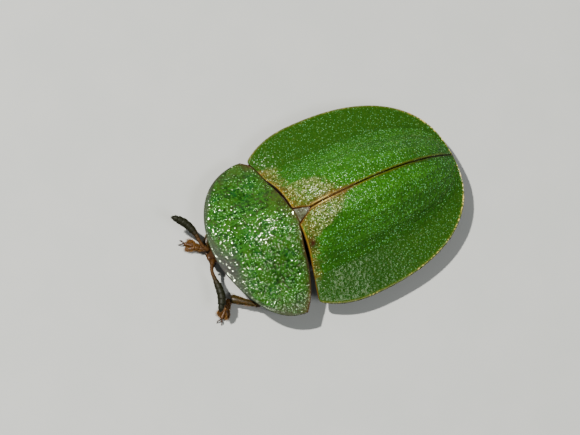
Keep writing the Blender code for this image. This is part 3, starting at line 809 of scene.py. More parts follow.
def wing_case_mesh(name, sizes, side, seed):
    """One wing case in full relief: rows of pits, faint ribs, the rim's bead and the suture."""

    def pick(left, right):
        return left if side > 0 else right

    across, depth = wrapped(sizes.columns)
    mesh, column, row = grid(name, len(across) - 1, sizes.rows)
    share = np.linspace(0, 1, sizes.rows + 1)
    inner = np.array([inner_edge(v) for v in share])
    outer = np.array([outer_edge(v) for v in share])
    chord = np.array([between(inner[0], outer[0], u) for u in across])
    front = np.array([front_edge(u) for u in across])
    u, d, v = across[column], depth[column], share[row]
    pull = ((1 - v) ** 4)[:, None] * (front - chord)[column]
    plan = lerp(inner[row], outer[row], u[:, None]) + pull
    x, y = np.maximum(plan[:, 0], SUTURE), plan[:, 1]
    top = d < 0.5
    disc = np.maximum(disc_width(y), TINY)
    to_rim = np.hypot(x - outer[row][:, 0], y - outer[row][:, 1])
    behind = y - base_edge(x)
    on_margin = ramp(x - disc, -0.02, 0.10)
    off_seam = ramp(x, 0.08, 0.20)
    hump = np.hypot((x - 0.34 * MM) / (0.52 * MM), (y - 0.85 * MM) / (0.60 * MM))
    pit = nearest_pit(x, y, pit_centres(sizes, seed))
    points = np.stack([x, y, x * 0], 1)
    lumps = noise_at(points, 0.55 * MM, seed)
    fine = noise_at(points, 0.11 * MM, seed + 3)
    bead = noise_at(points, 0.060 * MM, seed + 9)
    calm = ramp(to_rim, 0.03, 0.10) * ramp(x, 0.03, 0.08) * ramp(behind, 0.02, 0.09)

    relief = -sizes.pit_depth * bell(pit, 1, unit=1) * calm
    relief += 0.20 * sizes.pit_depth * bell(pit, 0.6, 1.9, 1) * calm
    for place, height in RIBS:
        relief += height * MM * bell(x / disc, 0.05, place, 1) * calm * (1 - on_margin)
    relief += (0.010 * lumps + 0.006 * fine * calm) * MM
    relief += (0.018 + 0.012 * bead) * MM * bell(to_rim, 0.035)
    relief += 0.016 * MM * bell(x, 0.022, 0.045) * ramp(y, 0.6, 0.9)
    relief -= 0.030 * MM * bell(x, 0.016)
    relief += 0.045 * MM * spot(x, y, (1.12, 0.62), (0.20, 0.24))
    relief += 0.045 * MM * (1 - smooth(hump, 0.70, 1.05)) * off_seam
    relief -= 0.016 * MM * bell(behind, 0.020)
    relief += 0.022 * MM * bell(x, 0.026, 0.055) * (1 - ramp(y, 1.3, 1.7))
    out = outer[row] - inner[row]
    out /= np.maximum(np.linalg.norm(out, axis=1), TINY)[:, None]
    bulge = 0.018 * MM * np.sin(np.pi * d) * (u > 0.5) * (d > 0) * (d < 1)
    z = rounded_height(x, y)
    z = np.where(d == 0, z + relief, z - d * sizes.thickness * lerp(1.0, 0.62, u))
    places = np.stack([side * (x + bulge * out[:, 0]), y + bulge * out[:, 1] + SHOULDER_Y, z], 1)

    pale = np.array(PALE_GROUND[side]) * MM
    inside = np.interp(x, pale[:, 0], pale[:, 1]) - y + 0.08 * MM * lumps
    # Where the ribs lie; the finish paints light on them and shade between them.
    ribs = sum(bell(x / disc, 0.07, place, 1) for place, _ in RIBS)
    # Painted shade: in the groove between disc and margin, over the front of the left case's margin, and
    # over all of the right case.
    groove = 0.45 * bell(x - disc, 0.26) * ramp(y, 0.2, 0.8)
    shaded = pick(0.70 * on_margin * (1 - ramp(y, 1.8, 3.8)), 0.24)
    callus = pick(1.0, 0.3) * bell(np.hypot(x - 0.90 * MM, y - 0.32 * MM), 0.13)
    base_line = bell(behind, 0.013, pick(0.024, 0.046)) * ramp(-x, -1.75, -1.45)
    # Broken gold glints painted along the rim at the tail.
    painted_tail_glints = 0.8 * bell(to_rim, 0.040) * ramp(y, 4.6, 5.3) * smooth(bead, -0.15, 0.25)
    seam_line = 0.30 * bell(x, 0.020, 0.050) * ramp(y, 1.6, 2.2)
    seam_line = seam_line * (1 - ramp(y, *pick((3.5, 5.0), (5.2, 5.8))))
    gold = np.maximum.reduce([base_line, painted_tail_glints, seam_line, 0.17 * bell(to_rim, 0.045)])
    seam = bell(x, lerp(0.120, 0.032, ramp(y, 1.2, 2.5)))
    seam = seam * ramp(y, 0.5, 0.7) * lerp(0.9, 0.6, ramp(y, 1.6, 3.0))
    brown = np.maximum.reduce([bell(behind, 0.016), bell(plate_distance(x, y), 0.040), seam])
    suture = bell(x, 0.020) * lerp(0.35, 1.0, ramp(y, 1.4, 2.6))
    stain = spot(x, y, (0.0, 4.0), (0.10, 1.3)) * pick(0.55, 0.30)
    # Painted shadow along the right case's base edge, in the gap under the shield.
    painted_gap_shadow = pick(0.0, 0.9) * (1 - ramp(behind, 0.012, 0.034))
    # Painted glints: strokes on the suture's beads near the scutellum, and beads of light along the rim,
    # more of them at the tail.
    painted_seam_glints = spot(x, y, (0.055, 1.05), (0.016, 0.30)) * (0.75 + bead)
    at_tail = ramp(y, *pick((4.3, 5.1), (5.1, 5.5))) * 0.85
    painted_rim_glints = bell(to_rim, lerp(0.014, 0.026, at_tail), 0.012)
    painted_rim_glints = painted_rim_glints * smooth(bead, lerp(0.12, 0.0, at_tail), lerp(0.32, 0.22, at_tail))
    painted_rim_glints = painted_rim_glints * np.maximum(at_tail, pick(0.75, 0.25) * smooth(lumps + 0.10, -0.2, 0.3))
    add_fields(
        mesh,
        cream=ramp(inside, -0.28, 0.26),
        tan=np.maximum(bell(x, 0.20), bell(behind, 0.30)),
        top=top,
        # Where brighter glints are painted over the hump.
        glow=bell(hump, 0.72, unit=1) * off_seam * top,
        rib=ribs * (1 - on_margin) * ramp(y, 0.8, 1.6),
        margin=on_margin,
        groove=np.maximum(groove, shaded),
        # Painted shade in the pits.
        pit=0.45 * bell(pit, 1.1, unit=1) * calm,
        callus=callus,
        rim=bell(to_rim, 0.022) * (0.45 + 0.6 * bead) * top,
        gold=np.clip(gold * top, 0, 1),
        brown=np.clip(brown * top, 0, 0.92),
        dark=np.clip(np.maximum.reduce([suture, stain, painted_gap_shadow, 0.6 * ~top]), 0, 1),
        gleam=np.clip(np.maximum(painted_seam_glints, painted_rim_glints) * top, 0, 1),
    )
    return close_up(mesh, places, cap=True)


# Neck shield


def from_shield(x, y):
    """Turns places in the shield's own frame into ones in the animal's."""
    cos, sin = math.cos(SHIELD_YAW), math.sin(SHIELD_YAW)
    return SHIELD_CENTRE[0] + cos * x - sin * y, SHIELD_CENTRE[1] + sin * x + cos * y


def shield_back(x):
    """Where the hind edge of the shield lies, in its own frame."""
    corner = np.minimum(1.0, np.abs(x) / SHIELD_HALF) ** np.where(x < 0, 9.0, 4.5)
    return SHIELD_BACK * (1 - corner) + 0.11 * MM * bell(x, 0.45)


def furthest_back(x):
    """How far back the shield may reach before it touches what lies behind it."""
    off = smooth(np.abs(x), 0.6 * SCUTELLUM_HALF, SCUTELLUM_HALF)
    behind = lerp(SCUTELLUM_FRONT, base_edge(x), off)
    gap = lerp(0.024, 0.066, ramp(np.abs(x), 0.25, 0.65))
    return behind - lerp(gap, 0.010, ramp(-x, 1.2, 1.7)) * MM


def shield_height(p, q):
    """Height of the smooth shield, in its own frame."""
    across = np.minimum(1.0, np.abs(p) / (0.975 * SHIELD_HALF))
    ahead = np.clip((SHIELD_BACK - q) / (SHIELD_BACK + SHIELD_FRONT), 0, 1)
    dome = SHIELD_DOME * (1 - across**1.8) ** 1.75 * (1 - ahead**2) ** 1.1
    rise = SHIELD_FRONT_RISE * ahead**2 * (1 - across**2)
    return SHIELD_MARGIN_Z + dome + rise + SHIELD_ROLL * p


def shield_mesh(sizes):
    """The neck shield: wrinkled, with a flat front margin and two slanting hollows."""
    along, depth = wrapped(sizes.rows)
    mesh, column, row = grid("pronotum_shield", sizes.columns, len(along) - 1)
    angle = np.linspace(-1, 1, sizes.columns + 1)[column] * math.pi / 2
    v, d = along[row], depth[row]
    top = d < 0.5
    p = SHIELD_HALF * np.sin(angle)
    front = -SHIELD_FRONT * np.maximum(0.0, np.cos(angle)) ** (2 / 2.1)
    front = front + SHIELD_SKEW * p * (-front / SHIELD_FRONT)
    back = shield_back(p)
    q = lerp(front, back, v)
    to_front, to_back = q - front, back - q
    reach = lerp(0.17, 0.44, bell(p, 0.55, 0.4)) * MM
    margin = 1 - smooth((to_front + 0.04 * MM * np.sin(p / (0.21 * MM))) / reach, 0.15, 1.0)
    side = ramp(np.abs(p), 1.75, 2.35)
    points = np.stack([p, q, q * 0], 1)
    wrinkle = noise_at(points, 0.072 * MM, 4.0)
    folds = noise_at(points * np.array([1.0, 0.6, 1.0]), 0.20 * MM, 6.0)
    lumps = noise_at(points, 0.5 * MM, 8.0)
    granule = np.clip(1 - (cell_distance(points, sizes.grain) / 0.62) ** 2, 0, 1)
    calm = ramp(to_front, 0.02, 0.10) * ramp(to_back, 0.02, 0.10)
    rough = calm * lerp(1.0, 0.60, np.maximum(margin, side))

    relief = sizes.relief * granule * lerp(0.55, 1.0, smooth(lumps, -0.3, 0.3)) * rough
    relief += (0.025 * wrinkle + 0.018 * folds) * MM * rough + 0.045 * MM * lumps * calm
    for way in (-1, 1):
        slant = way * p - 1.20 * MM + 0.9 * (q + 0.42 * MM)
        along_slant = 0.9 * (way * p - 1.20 * MM) - (q + 0.42 * MM)
        relief -= 0.085 * MM * spot(slant, along_slant, (0, 0), (0.38, 0.80))
    relief += 0.045 * MM * spot(p, q, (-0.02, -0.85), (0.17, 0.75)) * (1 + lumps)
    relief += (0.004 + 0.006 * wrinkle) * MM * bell(to_front, 0.04) * (v < 0.5)
    relief -= 0.012 * MM * bell(to_back, 0.02)
    z = shield_height(p, q)
    z = np.where(d == 0, z + relief, z - d * (0.10 * MM * lerp(0.65, 1.0, v)))
    bulge = 0.016 * MM * np.sin(np.pi * d) * (v < 0.5) * (np.abs(np.sin(angle)) < 0.999)
    x, y = from_shield(p + bulge * np.sin(angle), q - bulge * np.cos(angle))
    y = np.minimum(y, furthest_back(x))
    step = np.clip(shell_height(x, base_edge(x)) - shield_height(p, back), 0, 0.22 * MM)
    z = z + step * bell(to_back, 0.40)

    # How densely glints are painted, following folds, lumps and the places listed above, and fewer on the
    # grey patch.
    shine = 0.42 + 0.30 * folds + 0.25 * lumps
    for at_p, at_q, radius, gain in PAINTED_SHINE_SPOTS:
        shine += gain * bell(np.hypot(p - at_p * MM, q - at_q * MM), radius)
    grey = bell(p, 0.60, 0.45) * (1 - ramp(to_front + 0.12 * MM * lumps, 0.20, 0.62))
    deep = lerp(0.18, 0.42, bell(p, 0.55, -0.70))
    hind = 0.45 * bell(to_back, deep) + 0.5 * bell(to_back, 0.05)
    add_fields(
        mesh,
        # Painted light on the wrinkle crests.
        rise=smooth(wrinkle + 0.25 * granule, -0.30, 0.50) * rough * lerp(0.2, 1.0, top),
        margin=np.clip(margin * 0.8 + np.where(p > 0, 0.45, 0.15) * side, 0, 0.9),
        grey=0.85 * grey,
        shine=np.clip(shine - 0.35 * grey, 0.1, 1.0),
        top=top,
        # Painted shadow along the hind edge of the shield's right part.
        dark=0.9 * bell(to_back, 0.030) * ramp(-p, 0.1, 0.5),
        base=np.clip(hind + 0.15 * side, 0, 0.95),
    )
    return close_up(mesh, np.stack([x, y + SHOULDER_Y, z], 1))


# Scutellum


def scutellum_mesh():
    """The small three-cornered plate between the wing cases, a little crowned."""
    columns, rows = 40, 44
    mesh, column, row = grid("scutellum_plate", columns, rows)
    u, v = column / columns * 2 - 1, row / rows
    x = u * lerp(SCUTELLUM_HALF - 0.012 * MM, 0.012 * MM, v**1.15)
    y = lerp(SCUTELLUM_FRONT - 0.10 * MM, SCUTELLUM_TIP - 0.012 * MM, v)
    edge = np.maximum(np.abs(u), v)
    z = shell_height(0.0, np.maximum(y, 0.2 * MM)) - 0.050 * MM
    z = z + 0.035 * MM * (1 - u**2) * np.sin(np.pi * np.clip(v + 0.15, 0, 1))
    z = z - smooth(edge, 0.90, 1.0) * 0.05 * MM
    add_fields(mesh, edge=smooth(edge, 0.76, 0.90))
    made = placed(mesh, np.stack([x, y + SHOULDER_Y, z], 1))
    bmesh.ops.solidify(made, geom=made.faces[:], thickness=0.06 * MM)
    return finished(made, mesh)


# Limbs


def own(x, y, z):
    """A point in the animal's own measure, given in millimetres."""
    return Vector((x * MM, y * MM + SHOULDER_Y, z * MM))


def shifted(place, x, y, z):
    """A place moved by a way given in millimetres."""
    return place + Vector((x * MM, y * MM, z * MM))


def curve_points(points, count):
    """Points evenly along a smooth curve through the given ones."""
    ends = [points[0] * 2 - points[1], *points, points[-1] * 2 - points[-2]]
    steps = 40
    path = []
    for a, b, c, d in zip(ends, ends[1:], ends[2:], ends[3:]):
        for step in range(steps):
            t = step / steps
            point = 2 * b + (c - a) * t + (2 * a - 5 * b + 4 * c - d) * t**2
            path.append(0.5 * (point + (3 * b - a - 3 * c + d) * t**3))
    path.append(points[-1])
    lengths = np.concatenate([[0], np.cumsum([(q - p).length for p, q in zip(path, path[1:])])])
    spots = np.linspace(0, lengths[-1], count)
    flat = np.array(path)
    return np.stack([np.interp(spots, lengths, flat[:, axis]) for axis in range(3)], 1)


def limb(points, widths, sides, rings, dark=0.0, flat=1.0, floor=None, rough=0.0, seed=0.0):
    """A closed limb segment along a curve. widths are pairs of place and radius, in millimetres.

    dark, from 0 to 1, is how far it takes the second colour of its finish.
    """
    mesh, column, row = grid("limb", sides, rings)
    path = curve_points([Vector(p) for p in points], rings + 1)
    tangent = np.gradient(path, axis=0)
    tangent /= np.linalg.norm(tangent, axis=1)[:, None]
    side = np.cross(tangent, [0.0, 0.0, 1.0])
    side /= np.maximum(np.linalg.norm(side, axis=1), TINY)[:, None]
    upward = np.cross(side, tangent)
    share = np.linspace(0, 1, rings + 1)
    radius = np.interp(share, *zip(*widths)) * MM
    cap = 0.5 / rings * 3
    for from_end in (share, 1 - share):
        radius *= np.sqrt(np.clip(1 - (1 - np.clip(from_end / cap, 0, 1)) ** 2, 0, 1))
    turn = (column / sides * 2 * math.pi)[:, None]
    ring = radius[row][:, None]
    places = path[row] + ring * (side[row] * np.cos(turn) + flat * upward[row] * np.sin(turn))
    if rough:
        bumps = noise_at(places, 0.06 * MM, seed)
        places += ring * rough * bumps[:, None] * (places - path[row]) / np.maximum(ring, TINY)
    if floor is not None:
        places[:, 2] = np.maximum(places[:, 2], floor)
    add_fields(mesh, along=np.full(len(row), dark), run=share[row], turn=column / sides)
    return close_up(mesh, places)


def bristle_tuft(roots, draw):
    """A few bristles as one mesh. Each root is a place, a direction, a length and a map place."""
    made = bmesh.new()
    bake_map = made.loops.layers.uv.new("OFBake")
    for place, way, length, mapped in roots:
        thick = BRISTLE * draw.uniform(0.8, 1.2)
        turned = way.to_track_quat("Z", "Y").to_matrix().to_4x4()
        placing = Matrix.Translation(place + way * length / 2) @ turned
        ends = {"radius1": thick, "radius2": 0.15 * thick, "depth": length}
        cone = bmesh.ops.create_cone(made, cap_ends=True, segments=3, matrix=placing, **ends)
        for vert in cone["verts"]:
            turn = math.tau * draw.random()
            on_map = (mapped[0] + MAP_SPOT * math.cos(turn), mapped[1] + MAP_SPOT * math.sin(turn))
            for loop in vert.link_loops:
                loop[bake_map].uv = on_map
    return new_mesh(made, "tuft")


def bristle_coat(roots, seed):
    """Many fine bristles as one mesh, made a tuft at a time for speed."""
    draw = random.Random(seed)
    return joined([bristle_tuft(roots[start : start + TUFT], draw) for start in range(0, len(roots), TUFT)])


def roots_on(mesh, count, length, lean, seed, patch):
    """Roots for bristles of a length in millimetres, spread over a limb and leaning along a way.

    patch is the limb's own column and row on the bristles' map, and how many of each there are.
    """
    draw = random.Random(seed)
    column, row, columns, rows = patch
    run, turn = mesh.attributes["run"].data, mesh.attributes["turn"].data
    areas = [face.area for face in mesh.polygons]
    roots = []
    for face in draw.choices(list(mesh.polygons), weights=areas, k=count):
        reach = length * MM * draw.uniform(0.7, 1.2)
        here = face.center - face.normal * CLEAR * MM
        way = (face.normal * draw.uniform(0.4, 0.8) + lean.normalized()).normalized()
        way.z = max(way.z, (CLEAR * MM - here.z) / reach)
        corner = face.vertices[0]
        mapped = (
            (column + lerp(0.1, 0.9, turn[corner].value)) / columns,
            (row + lerp(0.1, 0.9, run[corner].value)) / rows,
        )
        roots.append((here, way, reach, mapped))
    return roots


def leg_parts(places, number):
    """The pieces of one leg, its bristle roots and its two claws."""
    seed = 60 + number
    (root_x, root_y), knee, ankle, toe = places
    root = own(root_x, root_y, BELLY_Z / MM + 0.06)
    hip = own(root_x, root_y, BELLY_Z / MM - 0.16)
    knee, ankle, toe = own(*knee), own(*ankle), own(*toe)
    thigh = (knee - hip).normalized()
    shin = (ankle - knee).normalized()
    foot = (toe - ankle).normalized()
    length = (toe - ankle).length
    flat_foot = Vector((foot.x, foot.y, 0)).normalized()
    side = Vector((-flat_foot.y, flat_foot.x, 0))
    arch = Vector((0, 0, 0.06 * MM))
    bristles = []

    def add_roots(part, row, count, reach, lean, more):
        patch = (number, row, len(LEGS), HAIRY_PARTS)
        bristles.extend(roots_on(part, count, reach, lean, seed + more, patch))

    parts = [
        limb([root, hip], [(0, 0.22), (0.6, 0.21), (1, 0.15)], 20, 16, 0.55, rough=0.02),
        limb(
            [hip - thigh * 0.05 * MM, hip + thigh * 0.22 * MM],
            [(0, 0.10), (0.5, 0.13), (1, 0.10)],
            18, 12, 0.35,
        ),
        limb(
            [hip + thigh * 0.10 * MM, (hip + knee) / 2 + arch * 0.4, knee + thigh * 0.06 * MM],
            [(0, 0.09), (0.3, 0.165), (0.6, 0.165), (0.9, 0.115), (1, 0.10)],
            24, 40, 0.30, flat=0.85, rough=0.02, seed=seed,
        ),
        limb(
            [knee - shin * 0.03 * MM, (knee + ankle) / 2 + arch * 0.3, ankle],
            [(0, 0.085), (0.12, 0.075), (0.5, 0.10), (0.85, 0.135), (1, 0.12)],
            22, 36, 0.75, flat=0.72, rough=0.02, seed=seed + 1,
        ),
    ]
    add_roots(parts[-1], 0, 130, 0.10, shin, 0)
    add_roots(parts[-2], 1, 70, 0.07, thigh, 2)
    stages = ((0.02, 0.24, 0.075, 0.105), (0.22, 0.44, 0.085, 0.125))
    for stage, (low, high, narrow, wide) in enumerate(stages):
        bone = limb(
            [ankle + foot * length * low, ankle + foot * length * high],
            [(0, narrow), (0.75, wide), (1, wide * 0.8)],
            20, 14, 0.1, flat=0.62, floor=CLEAR * MM, rough=0.02, seed=seed + low,
        )
        parts.append(bone)
        add_roots(bone, 2 + stage, 80, 0.09, foot, 5)
    start = ankle + foot * length * 0.40
    for row, way in ((4, -1), (5, 1)):
        end = ankle + foot * length * 0.84 + side * way * 0.095 * MM
        end.z = 0.055 * MM
        middle = (start + end) / 2 + side * way * 0.035 * MM
        lobe = limb(
            [start, middle, end],
            [(0, 0.06), (0.5, 0.095), (0.85, 0.085), (1, 0.06)],
            18, 16, 0.05, flat=0.55, floor=0.0, rough=0.02, seed=seed + way,
        )
        parts.append(lobe)
        add_roots(lobe, row, 260, 0.075, foot + side * way * 0.5, 9 + way)
    last = ankle + foot * length * 0.52
    last.z += 0.045 * MM
    claw_root = shifted(toe, 0, 0, 0.045) - foot * 0.03 * MM
    parts.append(limb([last, claw_root], [(0, 0.035), (0.8, 0.058), (1, 0.05)], 16, 16, flat=0.9))
    claws = []
    for way in (-1, 1):
        tip = claw_root + flat_foot * 0.15 * MM + side * way * 0.075 * MM
        tip.z = 0.012 * MM
        bow = shifted((claw_root + tip) / 2, 0, 0, 0.035) + side * way * 0.02 * MM
        claws.append(limb([claw_root, bow, tip], [(0, 0.028), (0.5, 0.020), (1, 0.006)], 10, 14))
    return parts, bristles, claws


def feeler_parts(points, feeler):
    """The joints of one feeler and its bristle roots."""
    seed = 40 + feeler
    path = curve_points([own(*point) for point in points], FEELER_STEPS)
    parts, bristles = [], []
    low = 0.0
    for number, (share, wide, dark) in enumerate(FEELER_JOINTS):
        high = low + share
        ends = (max(0.0, low - 0.012), (low + high) / 2, min(1.0, high + 0.010))
        spots = [Vector(path[int(s * (FEELER_STEPS - 1))]) for s in ends]
        narrow = wide * (0.60 if number < 6 else 0.88)
        widths = [(0, narrow), (0.30, wide * 0.97), (0.75, wide), (1, wide * 0.95)]
        if number == len(FEELER_JOINTS) - 1:
            widths = [(0, narrow), (0.3, wide), (0.6, wide * 0.85), (1, wide * 0.25)]
        joint = limb(spots, widths, 18, 16, dark, rough=0.02, seed=seed + number)
        parts.append(joint)
        count, reach = (14, 0.030) if number < 5 else (90, 0.036)
        patch = (number, feeler, len(FEELER_JOINTS), len(FEELERS))
        bristles += roots_on(joint, count, reach, spots[2] - spots[0], seed + number, patch)
        low = high
    return parts, bristles


# Head


def middle_and_size(node):
    """The middle and the half size of a node's box."""
    low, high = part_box(node)
    return (low + high) / 2, (high - low) / 2


def head_mesh():
    """The head capsule with its brow, groove, lip, jaws and feeler sockets."""
    centre, size = middle_and_size("head")
    columns, rows = 72, 60
    mesh, column, row = grid("head_capsule", columns, rows)
    turn, rise = column / columns * 2 * math.pi, (row / rows - 0.5) * math.pi
    x, y, z = np.cos(turn) * np.cos(rise), np.sin(turn) * np.cos(rise), np.sin(rise)
    front = smooth(-y, 0.1, 0.9)
    x = x * (1 - 0.18 * front)
    z = z * 0.92 - 0.10 * front
    y = y + 0.05 * bell(x, 0.35, unit=1) * smooth(-y, 0.5, 0.9)
    z = z + 0.05 * bell(x, 0.5, unit=1) * smooth(z, 0.0, 0.8)
    for way in (-1, 1):
        y = y + 0.07 * spot(x, z, (way * 0.30, 0.10), (0.13, 0.22), 1) * (y < 0)
    y = y + 0.04 * bell(x, 0.05, unit=1) * (y < 0) * smooth(z, 0.1, 0.6)
    points = np.stack([x, y, z], 1)
    grain = noise_at(points, 0.10, 2.0)
    places = points * (1 + 0.015 * grain[:, None]) * np.array(size) + np.array(centre)
    add_fields(mesh, along=0.45 + 0.3 * smooth(z, -0.2, 0.6))
    mouth = centre + Vector((0, -size.y * 0.80, -size.z * 0.62))
    lip = [shifted(mouth, -0.17, 0.02, 0), shifted(mouth, 0, -0.06, 0.01), shifted(mouth, 0.17, 0.02, 0)]
    parts = [close_up(mesh, places), limb(lip, [(0, 0.05), (0.5, 0.085), (1, 0.05)], 20, 24, 0.3, flat=0.8)]
    for way in (-1, 1):
        jaw = [
            shifted(mouth, way * 0.21, 0.05, -0.02),
            shifted(mouth, way * 0.16, -0.06, -0.06),
            shifted(mouth, way * 0.03, -0.09, -0.07),
        ]
        parts.append(limb(jaw, [(0, 0.06), (0.5, 0.05), (1, 0.02)], 16, 18, 0.95, flat=0.8))
        reach = shifted(mouth, way * 0.20, 0.06, -0.05)
        for _ in range(3):
            end = shifted(reach, way * 0.035, -0.055, -0.02)
            parts.append(limb([reach, end], [(0, 0.024), (0.7, 0.032), (1, 0.020)], 12, 10, 0.1))
            reach = end
    return joined(parts)


def eye_mesh(node, side):
    """A domed, kidney-shaped eye with rows of small facets."""
    centre, size = middle_and_size(node)
    facets = bmesh.new()
    bmesh.ops.create_icosphere(facets, subdivisions=4, radius=1.0)
    tree = tree_of([vert.co for vert in facets.verts])
    facets.free()
    made = bmesh.new()
    bmesh.ops.create_icosphere(made, subdivisions=5, radius=1.0)
    for vert in made.verts:
        x, y, z = vert.co
        lens = 1 + 0.035 * (1 - min(1.0, tree.find(vert.co)[2] / 0.055) ** 2)
        notch = 0.14 * math.exp(-(((y + 0.95) / 0.35) ** 2))
        vert.co = Vector((x * size.x * 1.5, y * size.y * (0.97 - notch), z * size.z * 0.97)) * lens
        vert.co += Vector((centre.x - side * size.x * 0.7, centre.y, centre.z))
    return finished(made, bpy.data.meshes.new(node))


# Underside


def underside_mesh():
    """Breast and belly in one skin, with the grooves between their plates."""
    rows = 300
    across, depth = wrapped(120, 10, 30)
    mesh, column, row = grid("underside", len(across) - 1, rows)
    y = lerp(UNDER_FRONT * MM, UNDER_BACK * MM, row / rows)
    d = depth[column]
    u = across[column] * 2 - 1
    widths = np.array(UNDER_WIDTHS) * MM
    x = u * np.interp(y, widths[:, 0], widths[:, 1])
    belly = BELLY_Z + 0.30 * MM * np.abs(u) ** 3.5 + 0.18 * MM * ramp(y, 4.2, 5.05)
    belly = belly - 0.045 * MM * (1 - u**2) * ramp(y, 0.2, 0.9)
    grooves = np.zeros_like(y)
    for place, bow, deep in UNDER_GROOVES:
        off = y - (place + bow * (1 - u**2)) * MM
        grooves += deep * MM * bell(off, 0.030)
        grooves -= 0.012 * MM * bell(off, 0.08, -0.09)
    grooves += 0.02 * MM * (bell(x, 0.02) * ramp(y, 1.0, 1.2) * (1 - ramp(y, 1.75, 1.85)))
    for (hip_x, hip_y), *_ in LEGS.values():
        away = np.hypot(x - hip_x * MM, y - hip_y * MM)
        grooves += 0.10 * MM * np.exp(-((away / (0.26 * MM)) ** 4))
        grooves -= 0.03 * MM * bell(away, 0.05, 0.33)
    points = np.stack([x, y, x * 0], 1)
    belly = belly + grooves - 0.006 * MM * smooth(cell_distance(points, 0.10 * MM, 2.0), 0.1, 0.5)
    q = y - SHIELD_CENTRE[1]
    p = x * math.cos(SHIELD_YAW) + q * math.sin(SHIELD_YAW)
    roof = np.where(y < 0.08 * MM, shield_height(p, q), shell_height(x, np.maximum(y, 0.35 * MM)))
    roof = np.maximum(roof - lerp(0.70, 0.30, smooth(np.abs(u), 0.5, 1.0)) * MM, belly + 0.10 * MM)
    bow_out = np.where((d > 0) & (d < 1), np.sin(np.pi * d) * 0.05 * MM, 0.0) * np.sign(u)
    return close_up(mesh, np.stack([x + bow_out, y + SHOULDER_Y, lerp(belly, roof, d)], 1), cap=True)


# Stage


def aim_camera():
    """Places the camera so that the model sits in the frame as in the photograph."""
    turned = Matrix.Identity(3)
    for degrees, axis in zip(VIEW_TURNS, "XYZ"):
        turned = turned @ Matrix.Rotation(math.radians(degrees), 3, axis)
    right, up, back = turned.transposed()
    middle = Vector(VIEW_AIM) + Vector((0, SHOULDER_Y, 0))
    place = middle + back * VIEW_DISTANCE
    aim = middle + right * VIEW_OFFSET[0] + up * VIEW_OFFSET[1]
    back = (place - aim).normalized()
    right = (right - back * right.dot(back)).normalized()
    up = back.cross(right)
    data = bpy.data.cameras.new("camera")
    data.sensor_width = SENSOR_WIDTH
    data.lens = SENSOR_WIDTH * VIEW_DISTANCE / FRAME_WIDTH
    data.clip_start = 0.002
    data.clip_end = 10.0
    camera = add_object("camera", data)
    camera.matrix_world = Matrix((right, up, back)).transposed().to_4x4()
    camera.matrix_world.translation = place
    bpy.context.scene.camera = camera
    return right, up, back, aim


def area_light(name, way, distance, size, power, colour, aim):
    """A round soft light, a distance away along a way from the place it shines on."""
    data = bpy.data.lights.new(name, "AREA")
    data.shape = "DISK"
    data.size = size
    data.energy = power
    data.color = colour
    way = way.normalized()
    lamp = add_object(name, data)
    lamp.location = aim + way * distance
    lamp.rotation_euler = way.to_track_quat("Z", "Y").to_euler()


class BEETLE_OT_stage(bpy.types.Operator):
    """Floor, lights and camera"""

    bl_idname = "beetle.stage"
    bl_label = "Studio"

    def execute(self, context):
        right, up, back, aim = aim_camera()
        made = bmesh.new()
        bmesh.ops.create_grid(made, x_segments=4, y_segments=4, size=0.5)
        mesh = new_mesh(made, "floor")
        paint = ((0.55, 0.56, 0.53), (0.53, 0.545, 0.515))
        mesh.materials.append(plain_finish("floor_paint", *paint, 2 * MM, 0.7, 0.0, 0.002 * MM))
        floor = add_object("floor", mesh)
        # Mirrored in the shell, the pale floor would turn its green grey.
        floor.visible_glossy = False
        key, fill = back * 0.90 + up * 0.40 - right * 0.36, back * 0.85 - up * 0.15 + right * 0.40
        area_light("key", key, 0.16, 0.0060, 0.47, (1.0, 0.98, 0.94), aim)
        area_light("fill", fill, 0.18, 0.060, 0.105, (0.98, 0.99, 1.0), aim)
        world = bpy.data.worlds.new("studio")
        world.use_nodes = True
        light = world.node_tree.nodes["Background"].inputs
        light["Color"].default_value = (0.92, 0.96, 1.0, 1.0)
        light["Strength"].default_value = 0.16
        bpy.context.scene.world = world
        return {"FINISHED"}


class BEETLE_OT_wing_cases(bpy.types.Operator):
    """Both wing cases with their pits, ribs and beaded rims"""

    bl_idname = "beetle.wing_cases"
    bl_label = "Wing cases"

    def execute(self, context):
        sizes = context.scene.beetle_shell
        finish = shell_finish(sizes)
        for side, word in ((1, "left"), (-1, "right")):
            name = "elytron_" + word
            mesh = wing_case_mesh(name + "_shell", sizes, side, 20 + side)
            piece(name + "_shell", mesh, finish, "green_shell", name)
        return {"FINISHED"}


class BEETLE_OT_shield(bpy.types.Operator):
    """The wrinkled neck shield over the head"""

    bl_idname = "beetle.shield"
    bl_label = "Neck shield"

    def execute(self, context):
        sizes = context.scene.beetle_shield
        piece("pronotum_shield", shield_mesh(sizes), shield_finish(sizes), "grey_green_shield", "pronotum")
        return {"FINISHED"}


class BEETLE_OT_scutellum(bpy.types.Operator):
    """The small plate between the wing cases"""

    bl_idname = "beetle.scutellum"
    bl_label = "Scutellum"

    def execute(self, context):
        piece("scutellum_plate", scutellum_mesh(), plate_finish(), "scutellum_plate", "scutellum")
        return {"FINISHED"}


class BEETLE_OT_underside(bpy.types.Operator):
    """Breast and belly plates"""

    bl_idname = "beetle.underside"
    bl_label = "Underside"

    def execute(self, context):
        dark = context.scene.beetle_limbs.dark
        finish = plain_finish("underside_cuticle", dark, dimmed(dark, 2.2), 0.2 * MM, 0.42, 0.08)
        nodes = ("prothorax", "metathorax", "abdomen")
        piece("underside_skin", underside_mesh(), finish, "dark_underside", *nodes)
        return {"FINISHED"}


